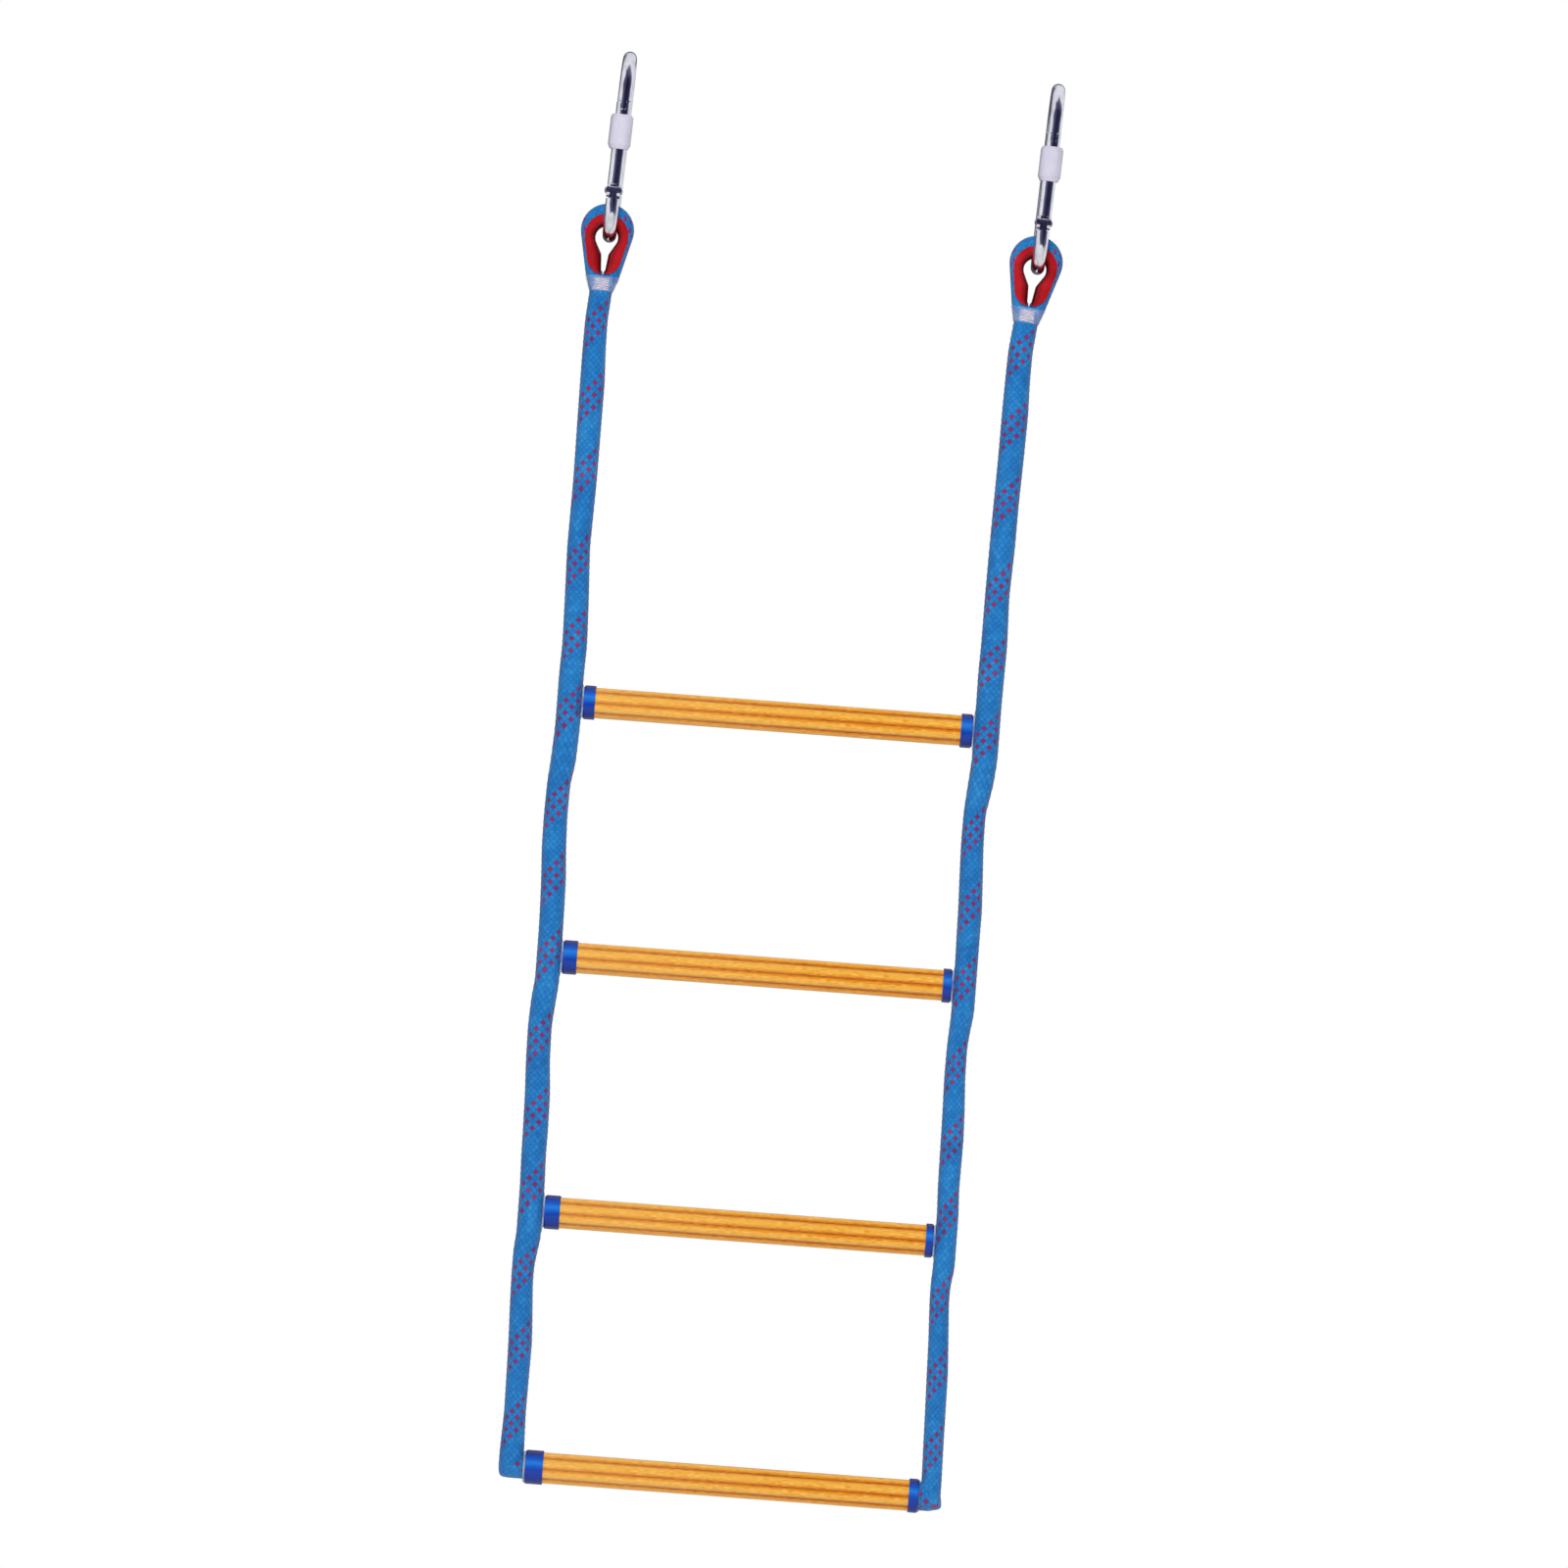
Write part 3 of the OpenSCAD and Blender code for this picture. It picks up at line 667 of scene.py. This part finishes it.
def rope_eye(side):
    """The rope round the thimble, and the neck that covers both its legs."""
    inner, outer = eye_outlines()
    middle = (inner + outer) / 2
    length = np.concatenate([[0], np.cumsum(np.linalg.norm(np.diff(middle, axis=0), axis=1))])
    at = np.linspace(0, length[-1], round(length[-1] / CELL * ROW) + 1)
    inner, outer = (np.stack([np.interp(at, length, blur(line[:, k], 4)) for k in (0, 1)], axis=1)
                    for line in (inner, outer))
    middle, across = (inner + outer) / 2, outer - inner
    half = np.linalg.norm(across, axis=1) / 2
    across = across / (2 * half[:, None])
    zero = np.zeros(len(half))
    centre = to_ladder(side, np.stack([middle[:, 0], zero, middle[:, 1]], axis=1))
    n1 = turn_to_ladder(side, np.stack([across[:, 0], zero, across[:, 1]], axis=1))
    skin = Skin()
    skin.add(5, centre, n1, np.tile(-FRONT, (len(half), 1)), half, zero + EYE_DEPTH, power=EYE_SQUARE)
    rope = ropes[side]
    low = EYE_Z + NECK_LOW
    first, z = rope.rows(EYE_Z + NECK_HIGH + 1.0, low)
    centre, n1, _ = rope.at(z)
    # the neck's middle runs from the side rope's over to the eye's own line
    line = np.stack([EYE_X[side] + (z - EYE_Z) * math.tan(EYE_TILT[side]), 0 * z, z], axis=1)
    near = np.clip((z - low) / 5.0, 0, 1)[:, None]
    wide, deep, power = neck_shape(side, z - EYE_Z)
    skin.add(first, centre * (1 - near) + line * near, n1, np.tile(FRONT, (len(z), 1)), wide, deep, power=power)
    piece = skin.make(f"{side}_rope_eye_braid", yarns)
    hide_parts(f"{side}_rope_eye")
    return piece


eyes = {side: rope_eye(side) for side in SIDES}


NECK_POINTS = 96


def neck_ring(side, local_z, grow, wobble, seed):
    """A ring round the neck in the ladder's frame, grown outwards by grow mm and rippled by wobble mm."""
    r1, r2, power = neck_shape(side, local_z)
    angle = np.linspace(0, 2 * np.pi, NECK_POINTS, endpoint=False)
    c, s = np.cos(angle), np.sin(angle)
    coarse, fine = np.sin(5 * angle + seed + local_z), np.sin(11 * angle - 2 * seed + 0.7 * local_z)
    grow = grow + wobble * (coarse * 0.6 + fine * 0.4)
    x = (r1 + grow) * np.sign(c) * np.abs(c) ** (2 / power)
    y = (r2 + grow) * np.sign(s) * np.abs(s) ** (2 / power)
    return to_ladder(side, np.stack([x, y, np.full(NECK_POINTS, local_z)], axis=1))


def tube(centre, radius, sides):
    """Rings of a round tube along a line of points."""
    centre = np.asarray(centre, float)
    tangent = np.gradient(centre, axis=0)
    tangent /= np.linalg.norm(tangent, axis=1)[:, None]
    normal = np.cross(tangent, np.array([0.13, 0.21, 0.97]))
    normal /= np.linalg.norm(normal, axis=1)[:, None]
    other = np.cross(tangent, normal)
    angle = np.linspace(0, 2 * np.pi, sides, endpoint=False)[None, :, None]
    return centre[:, None] + radius * (np.cos(angle) * normal[:, None] + np.sin(angle) * other[:, None])


STITCHES = 12
STITCH_LOW, STITCH_HIGH = -37.8, -30.0     # the lowest and highest stitch, from EYE_Z
STITCH_REACH = 5.6     # half its length
THREAD_R = 0.32


def stitching(side, material):
    """Rows of thread over the neck's front and back, each row's ends sewn in at the sides."""
    random = np.random.default_rng(7 if side == "left" else 11)
    points, faces, count = [], [], 0
    x = np.linspace(-1, 1, 25)
    for face in (1, -1):
        for k in range(STITCHES):
            slope = random.uniform(-0.5, 0.5)
            reach = STITCH_REACH + random.uniform(-0.5, 0.6)
            local_x = x * reach + random.uniform(-0.3, 0.3)
            local_z = STITCH_LOW + (STITCH_HIGH - STITCH_LOW) * k / (STITCHES - 1) + slope * x
            r1, r2, power = neck_shape(side, local_z)
            proud = 0.2 - 1.3 * np.clip((np.abs(x) - 0.8) / 0.2, 0, 1) ** 2
            y = (1 - np.abs(local_x / r1) ** power) ** (1 / power) * r2 + proud + random.uniform(-0.05, 0.08)
            line = to_ladder(side, np.stack([local_x, -face * y, local_z], axis=1))
            p, f = loft(tube(line, THREAD_R, 7), offset=count)
            points.append(p)
            faces += f
            count += len(p)
    piece = mesh_object(f"{side}_stitching_thread", np.concatenate(points) * MM, faces, material)
    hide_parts(f"{side}_eye_stitching")
    return piece


SLEEVE_OUT, SLEEVE_IN = 0.85, 0.5     # the sleeve's outer and inner faces, from the neck
SLEEVE_STEPS = 24
SLEEVE_RIPPLE = 0.1


def shrink_sleeve(side, material):
    """A thin clear tube, shrunk over the stitching, its ends a little wavy."""
    low, high = NECK_LOW + 0.5, NECK_HIGH - 0.2
    seed = 1.3 * (side == "left")
    heights = [low + (high - low) * k / SLEEVE_STEPS for k in range(SLEEVE_STEPS + 1)]
    lips = (heights[0], heights[-1])
    outside = [neck_ring(side, z, SLEEVE_OUT - 0.15 * (z in lips), SLEEVE_RIPPLE, seed) for z in heights]
    inside = [neck_ring(side, z, SLEEVE_IN, SLEEVE_RIPPLE, seed) for z in heights[::-1]]
    points, faces = loft(np.array(outside + inside), caps=False)
    last = len(points) - NECK_POINTS
    for k in range(NECK_POINTS):
        after = (k + 1) % NECK_POINTS
        faces.append((last + k, k, after, last + after))
    piece = mesh_object(f"{side}_clear_sleeve", points * MM, faces, material)
    soften(piece, 50)
    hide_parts(f"{side}_shrink_sleeve")
    return piece


# ---- thimble

THIMBLE_POINTS = 181   # round the opening
THIMBLE_HALF = 9.5     # half its depth, front to back
THROAT = 3.4           # half the depth of the opening's straight part
FLARE = 4.6            # how far the opening's mouth flares out
GROOVE_HALF = 7.5      # half the depth between the flanges
LIP_R = 1.0
LOW_STEPS, SIDE_STEPS, TOP_STEPS = 24, 50, 60


def thimble_outlines():
    """Matching points on the opening's edge, the flange's edge and the groove's floor."""
    hole = arc_points(0, HOLE_R, math.atan2(-4.4, -6.9), -1.5 * math.pi, TOP_STEPS)
    keyhole = (even([(-1.15, -27.3), (-1.7, -21.5)], LOW_STEPS),
               even([(-1.7, -21.5), (-2.6, -12.0), (-6.9, -4.4)], SIDE_STEPS), hole)
    halves = [keyhole]
    for r, c, open_half in ((FLANGE_R, FLANGE_C, 5.3), (CORE_R, CORE_C, 24)):
        side_angle = math.pi + egg_lean(r, c)
        low = arc_points(c[1], r[1], math.radians(270 - open_half), side_angle, LOW_STEPS)
        top = arc_points(c[0], r[0], side_angle, math.pi / 2, TOP_STEPS)
        halves.append((low, even([low[-1], top[0]], SIDE_STEPS), top))
    outlines = []
    for low, side, top in halves:
        half = np.concatenate([low[:-1], side[:-1], top])
        whole = np.concatenate([half, half[-2::-1] * MIRROR])
        at, index = np.linspace(0, len(whole) - 1, THIMBLE_POINTS), np.arange(len(whole))
        outlines.append(np.stack([np.interp(at, index, blur(whole[:, k], 7)) for k in (0, 1)], axis=1))
    return outlines


def thimble_profile(span, deep, flare):
    """The closed section as (distance from the opening, depth), front half first."""
    face = THIMBLE_HALF - 0.35
    rim, start = span - LIP_R, flare + 0.12
    front = [(0.0, 0.0), (0.0, 2.2), (0.12, THROAT)]
    for k in range(1, 9):
        a = math.pi / 2 * k / 8
        front.append((0.12 + flare * (1 - math.cos(a)), THROAT + (face - THROAT) * math.sin(a)))
    for k in range(1, 4):
        front.append((start + (rim - start) * k / 4, face + 0.35 * math.sin(math.pi * k / 4)))
    front.append((rim, THIMBLE_HALF - 0.3))
    for k in range(1, 5):
        a = math.pi / 2 * k / 4
        front.append((rim + LIP_R * math.sin(a), THIMBLE_HALF - 0.3 - 0.9 * (1 - math.cos(a))))
    front += [(span - 0.15, GROOVE_HALF + 0.3), (span - 0.5, GROOVE_HALF), (deep + (span - deep) * 0.45, 7.45),
              (deep + 0.35, 7.3), (deep, 6.8), (deep, 3.0)]
    return front + [(deep, 0.0)] + [(r, -y) for r, y in reversed(front[1:])]


def thimble(side, material):
    """The moulded thimble. Its bore attribute is 1 in the opening and fades to 0 up its flared mouth, where it
    paints shade into the colour.
    """
    rings, bores = [], []
    for opening, flange, floor in zip(*thimble_outlines()):
        span = np.linalg.norm(flange - opening)
        way = (flange - opening) / span
        deep = min(max((floor - opening) @ way, 0.45), span - LIP_R)
        flare = min(FLARE, span * 0.42)
        profile = thimble_profile(span, deep, flare)
        rings.append([(opening[0] + way[0] * r, -y, opening[1] + way[1] * r) for r, y in profile])
        bores.append([max(0.0, 1 - r / (1.25 * flare)) ** 0.7 if r < deep or abs(y) > 7.9 else 0.0
                      for r, y in profile])
    points, faces = loft(to_ladder(side, np.array(rings)))
    piece = mesh_object(f"{side}_thimble_moulded", points * MM, faces, material)
    bore = piece.data.attributes.new(name="bore", type="FLOAT", domain="POINT")
    bore.data.foreach_set("value", np.array(bores, np.float32).ravel())
    soften(piece, 40)
    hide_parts(f"{side}_thimble")
    return piece


# ---- hard materials

def plastic(name, base, deep, pale, roughness, coat=0.0, darker=None, shine=0.5):
    """Moulded plastic: slow drift, fine grain and pale scuffs. darker is a mesh attribute and its colour, for
    painted shade.
    """
    s = Shader(name)
    place = s.coordinate("Object")
    fine = s.noise(place, 900.0, 2.0, 0.5)
    colour = s.ramp(s.noise(place, 60.0, 3.0, 0.55), (0.3, deep), (0.55, base), (0.8, pale))
    colour = s.mix(s.scuffs(place, 220.0, 0.35), colour, pale)
    if darker:
        # painted shade: the colour goes to darker's colour as far as its attribute reaches
        colour = s.mix(s.add("Attribute", attribute_name=darker[0]).outputs["Fac"], colour, darker[1])
    s.set(Base_Color=colour, Roughness=s.span(fine, 0.3, 0.7, roughness - 0.06, roughness + 0.1),
          Coat_Weight=coat, Coat_Roughness=0.08, Specular_IOR_Level=shine)
    s.bump(fine, 0.05, 0.0001)
    return s.material


def chrome(name, base, roughness):
    """Bright plated steel: faint polishing lines, cloudy patches and small darker pits."""
    s = Shader(name)
    place = s.coordinate("Object")
    cloud = s.noise(place, 90.0, 4.0, 0.6)
    line = s.noise(s.coordinate("Object", (900.0, 900.0, 60.0)), 1.0, 2.0, 0.5)
    pit = s.span(s.noise(place, 1300.0, 2.0, 0.5), 0.68, 0.78)
    colour = s.ramp(cloud, (0.3, tuple(c * 0.72 for c in base)), (0.6, base))
    colour = s.mix(s.math("MULTIPLY", pit, 0.5), colour, tuple(c * 0.35 for c in base))
    rough = s.math("ADD", s.span(cloud, 0.3, 0.75, roughness, roughness + 0.12), s.math("MULTIPLY", pit, 0.2))
    s.set(Base_Color=colour, Metallic=1.0, Roughness=rough)
    s.bump(line, 0.05, 0.0001)
    return s.material


def clear(name, colour, alpha, roughness):
    """Thin clear or milky plastic, a little denser in streaks."""
    s = Shader(name)
    streak = s.noise(s.coordinate("Object", (1.0, 1.0, 0.25)), 300.0, 3.0, 0.6)
    s.set(Base_Color=s.ramp(streak, (0.3, tuple(c * 0.88 for c in colour)), (0.7, colour)),
          Roughness=s.span(streak, 0.3, 0.7, roughness, roughness + 0.12),
          Alpha=s.span(streak, 0.3, 0.7, alpha - 0.08, alpha + 0.08), Specular_IOR_Level=0.7)
    s.bump(streak, 0.15, 0.0002)
    return s.material


RIBS_FROM, RIBS_TO = 0.472, 0.516     # the rung's hollows and rib tops, from its axis, as parts of its box: painted shade at the first, painted highlight at the second
WEAVE = 3.4            # the weave's waves, in radians a mm


def resin(name):
    """Glass weave in amber resin. The ribs' tops are painted pale as highlights, and the hollows between them
    are painted dark as shade.
    """
    s = Shader(name)
    x, y, z = s.split(s.coordinate("Generated"))
    y, z = s.math("SUBTRACT", y, 0.5), s.math("SUBTRACT", z, 0.5)
    radius = s.math("SQRT", s.math("ADD", s.math("MULTIPLY", y, y), s.math("MULTIPLY", z, z)))
    # the surface rolled out flat, both ways in mm
    length = s.math("MULTIPLY", s.split(s.coordinate("Object"))[0], 1000.0)
    around = s.math("MULTIPLY", s.math("ARCTAN2", z, y), 11.0)
    flat = s.add("CombineXYZ")
    s.link(length, flat.inputs[0])
    s.link(around, flat.inputs[1])
    slow = s.noise(s.vector("MULTIPLY", flat.outputs[0], (0.05, 0.3, 0.0)), 1.0, 3.0, 0.6)
    streak = s.noise(s.vector("MULTIPLY", flat.outputs[0], (0.22, 1.6, 0.0)), 1.0, 3.0, 0.65)
    # the weave: threads along and round, each way over and under
    warp, weft = (s.math("SINE", s.math("MULTIPLY", way, WEAVE)) for way in (length, around))
    weave = s.math("MULTIPLY", warp, weft)
    # painted light: rib tops lighter as painted highlights, hollows darker as painted shade
    tone = s.weighted((s.span(radius, RIBS_FROM, RIBS_TO), 0.55), (s.span(streak, 0.3, 0.7), 0.5), (weave, 0.1),
                      (s.math("SUBTRACT", slow, 0.5), 0.3))
    colour = s.ramp(tone, (0.08, srgb(128, 56, 0)), (0.4, srgb(204, 110, 4)), (0.68, srgb(228, 150, 28)),
                    (1.0, srgb(248, 202, 96)))
    colour = s.mix(s.span(x, 0.0, 0.7, 0.2, 0.0), colour, srgb(244, 194, 116))     # painted sheen: paler towards the left end
    s.set(Base_Color=colour, Roughness=s.span(streak, 0.3, 0.7, 0.28, 0.45), Specular_IOR_Level=0.5)
    s.bump(s.math("ADD", weave, s.math("MULTIPLY", streak, 2.0)), 0.3, 0.00012)
    return s.material


def thread(name, base, dark):
    """Twisted yarn, darker between its plies."""
    s = Shader(name)
    ply = s.noise(s.coordinate("Object", (1500.0, 1500.0, 2500.0)), 1.0, 2.0, 0.6)
    slow = s.noise(s.coordinate("Object"), 300.0, 2.0, 0.5)
    s.set(Base_Color=s.ramp(s.weighted((ply, 0.6), (slow, 0.4)), (0.3, dark), (0.6, base)),
          Roughness=s.span(ply, 0.3, 0.7, 0.55, 0.75), Sheen_Weight=0.2)
    s.bump(ply, 0.4, 0.0002)
    return s.material


def cap_plastic(name):
    """Blue plastic with lighter scuffs where hands and boots rub it, a painted highlight band across its upper
    front, and painted shade towards its top and underside.
    """
    s = Shader(name)
    place = s.coordinate("Object")
    fine = s.noise(place, 900.0, 2.0, 0.5)
    drift = s.math("SUBTRACT", s.noise(place, 70.0, 3.0, 0.6), 0.5)
    # painted light by height in the cap's box: painted shade at the top and underside, a painted highlight band
    # about two thirds up
    height = s.math("ADD", s.split(s.coordinate("Generated"))[2], s.math("MULTIPLY", drift, 0.1))
    colour = s.ramp(height, (0.02, srgb(0, 12, 96)), (0.16, srgb(0, 44, 140)), (0.46, srgb(0, 58, 162)),
                    (0.68, srgb(34, 118, 212)), (0.8, srgb(8, 78, 184)), (0.95, srgb(0, 14, 104)))
    s.set(Base_Color=s.mix(s.scuffs(place, 260.0, 0.3), colour, srgb(60, 130, 220)),
          Roughness=s.span(fine, 0.3, 0.7, 0.26, 0.4), Specular_IOR_Level=0.4)
    s.bump(fine, 0.05, 0.0001)
    return s.material


bright_steel = chrome("polished_plate", (0.86, 0.86, 0.89), 0.07)
dark_steel = chrome("plain_steel", (0.36, 0.36, 0.39), 0.25)
spring_wire = chrome("drawn_wire", (0.5, 0.5, 0.52), 0.22)
sleeve_coat = plastic("pale_sleeve_coat", srgb(208, 204, 220), srgb(198, 193, 212), srgb(217, 214, 229), 0.26,
                      coat=0.4)
# the thimble's bore attribute paints shade into its flared mouth
red_plastic = plastic("red_moulded_plastic", srgb(176, 18, 28), srgb(152, 10, 18), srgb(196, 42, 50), 0.38,
                      darker=("bore", srgb(84, 0, 4)), shine=0.4)
cap_blue = cap_plastic("blue_plastic_painted_light")
milky = clear("milky_plastic", srgb(186, 202, 228), 0.62, 0.3)
frosted = clear("frosted_plastic", srgb(96, 132, 190), 0.5, 0.3)
clear_film = clear("clear_film", srgb(214, 216, 238), 0.16, 0.1)
twine = thread("white_twine", srgb(238, 230, 236), srgb(196, 186, 200))
cord_yarn = thread("cross_cord_yarn", srgb(70, 84, 190), srgb(40, 50, 140))
amber = resin("amber_glass_resin")


# ---- saddles between caps and ropes

SADDLE_POINTS, SADDLE_STEPS = 64, 8
SPIGOT = ((-2.4, 4.4), (-2.4, 5.6), (-2.0, 5.8), (0.05, 5.8))     # distance from the cap's face, radius
SADDLE_WIDE = (6.6, 3.6)     # half its width, front to back, at the cap and at the rope
SADDLE_LOW = 11.0      # half its height at the cap


def saddle(side, n, material):
    """A block that fills the gap between a cap's face and the rope, flared along the rope, with a spigot."""
    sign = SIDES[side]
    low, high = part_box(f"rung_{n}_{side}_saddle")
    cap_low, cap_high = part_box(f"rung_{n}_{side}_cap")
    face = (cap_high[0] if sign > 0 else cap_low[0]) / MM
    tall = (high[2] - low[2]) / MM / 2
    inner = ROPE_D[side][n] / 2 + 0.1
    angle = np.linspace(0, 2 * np.pi, SADDLE_POINTS, endpoint=False)
    cos, sin = np.cos(angle), np.sin(angle)
    rings = [np.stack([np.full(SADDLE_POINTS, face + sign * reach), r * cos, RUNG_Z[n] + r * sin], axis=1)
             for reach, r in SPIGOT]
    near = face + sign * 0.06
    for k in range(SADDLE_STEPS + 1):
        way = k / SADDLE_STEPS
        y = (SADDLE_WIDE[0] + (SADDLE_WIDE[1] - SADDLE_WIDE[0]) * way) * cos
        z = (SADDLE_LOW + (tall - SADDLE_LOW) * way ** 2.5) * sin
        hollow = np.sqrt(np.maximum(inner ** 2 - y ** 2, 4.0)) + 0.35 * (1 - np.abs(sin) ** 6)
        far = rope_x(side, n) - sign * hollow
        rings.append(np.stack([near + (far - near) * way, y, RUNG_Z[n] + z], axis=1))
    points, faces = loft(np.array(rings))
    piece = mesh_object(f"rung_{n}_{side}_saddle_block", points * MM, faces, material)
    soften(piece, 45)
    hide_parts(f"rung_{n}_{side}_saddle")
    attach(piece, f"rung_{n}")


for side in SIDES:
    for n in (1, 2, 3):
        saddle(side, n, milky)
thimbles = {side: thimble(side, red_plastic) for side in SIDES}
stitches = {side: stitching(side, twine) for side in SIDES}
films = {side: shrink_sleeve(side, clear_film) for side in SIDES}


# ---- the CAD nodes' materials

def paint(name, material):
    """Gives a CAD node its material."""
    slots = nodes[name].material_slots
    if not slots:
        nodes[name].data.materials.append(material)
    for one in slots:
        one.material = material


HOOK_PARTS = {"hook_frame": bright_steel, "gate": bright_steel, "gate_pin": dark_steel, "latch_pin": dark_steel,
              "gate_spring": spring_wire, "gate_plunger": dark_steel, "lock_sleeve": sleeve_coat}
for side in SIDES:
    for part, material in HOOK_PARTS.items():
        paint(f"{side}_{part}", material)
    for n in RUNGS:
        paint(f"rung_{n}_{side}_cap", cap_blue)
for n in RUNGS:
    paint(f"rung_{n}_tube", amber)
for n in (1, 2, 3):
    paint(f"rung_{n}_cord", cord_yarn)
paint("rung_4_left_collar", milky)
paint("rung_4_right_collar", frosted)


# ---- what moves with what

for side in SIDES:
    for piece in (eyes[side], thimbles[side], stitches[side], films[side]):
        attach(piece, "rope_tops")
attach(bottom, "rung_4")
FOLD_Z = {n: (RUNG_Z[n - 1] + RUNG_Z[n]) / 2 for n in (2, 3, 4)}
FOLD_Z[1] = -313.5
for (side, n), piece in bays.items():
    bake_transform(piece)


# ---- studio

# What steel mirrors: dark in front and a little to the right, white at the sides, dark grey behind
MIRRORED_FROM = (0.42, -0.9, 0.1)
MIRRORED = ((0.0, (0.07, 0.07, 0.1)), (0.16, (0.16, 0.16, 0.21)), (0.27, (0.8, 0.8, 0.86)),
            (0.68, (0.92, 0.92, 0.98)), (0.78, (0.14, 0.14, 0.24)), (1.0, (0.02, 0.02, 0.06)))
AMBIENT, AMBIENT_COLOUR = 0.26, (0.93, 0.95, 1.0)
LIT_POINT = (0, 0, -0.5)


def studio_world():
    """A white backdrop, even pale light, and the bands that steel mirrors."""
    world = bpy.data.worlds.new("studio")
    world.use_nodes = True
    world.node_tree.nodes.clear()
    t = Tree(world.node_tree)
    rays = t.add("LightPath").outputs

    def background(colour, strength=1.0):
        made = t.add("Background")
        t.put(colour, made.inputs[0])
        t.put(strength, made.inputs[1])
        return made.outputs[0]

    def choose(ray, others, this):
        made = t.add("MixShader")
        for source, socket in zip((rays[ray], others, this), made.inputs):
            t.link(source, socket)
        return made.outputs[0]

    direction = t.coordinate("Generated")
    facing = t.add("VectorMath", operation="DOT_PRODUCT")
    t.link(direction, facing.inputs[0])
    facing.inputs[1].default_value = MIRRORED_FROM
    uneven = t.math("MULTIPLY_ADD", t.noise(direction, 2.2), 0.7, facing.outputs["Value"])
    bands = background(t.ramp(t.span(uneven, -0.75, 1.25), *MIRRORED))
    light = choose("Is Glossy Ray", background(AMBIENT_COLOUR, AMBIENT), bands)
    t.link(choose("Is Camera Ray", light, background((1, 1, 1))), t.add("OutputWorld").inputs[0])
    bpy.context.scene.world = world


def softbox(name, at, size, power):
    """An area light that only shades. The world gives the reflections."""
    data = bpy.data.lights.new(name, "AREA")
    data.shape = "RECTANGLE"
    data.size, data.size_y = size
    data.energy = power
    lamp = bpy.data.objects.new(name, data)
    bpy.context.scene.collection.objects.link(lamp)
    lamp.location = at
    lamp.visible_glossy = False
    lamp.rotation_mode = "QUATERNION"
    lamp.rotation_quaternion = (Vector(LIT_POINT) - Vector(at)).to_track_quat("-Z", "Y")


studio_world()
softbox("front_box", (-0.3, -3.5, 1.0), (1.1, 1.6), 117)
softbox("fill_box", (1.9, -1.6, -0.3), (0.8, 2.0), 5)
softbox("back_box", (0.4, 2.2, 1.0), (2.0, 1.4), 46)

FLOOR_Z, FLOOR_R, FLOOR_POINTS = -1.3, 1.6, 96
angles = np.linspace(0, 2 * math.pi, FLOOR_POINTS, endpoint=False)
ring = np.stack([FLOOR_R * np.cos(angles), FLOOR_R * np.sin(angles), np.full(FLOOR_POINTS, FLOOR_Z)], axis=1)
pale = Shader("pale_floor")
cloud = pale.noise(pale.coordinate("Object"), 3.0)
pale.set(Base_Color=pale.ramp(cloud, (0.3, (0.86, 0.86, 0.87)), (0.7, (0.9, 0.9, 0.91))), Roughness=0.8)
floor = mesh_object("floor", ring, [tuple(range(FLOOR_POINTS))], pale.material, smooth=False)


# ---- update

bpy.context.view_layer.update()
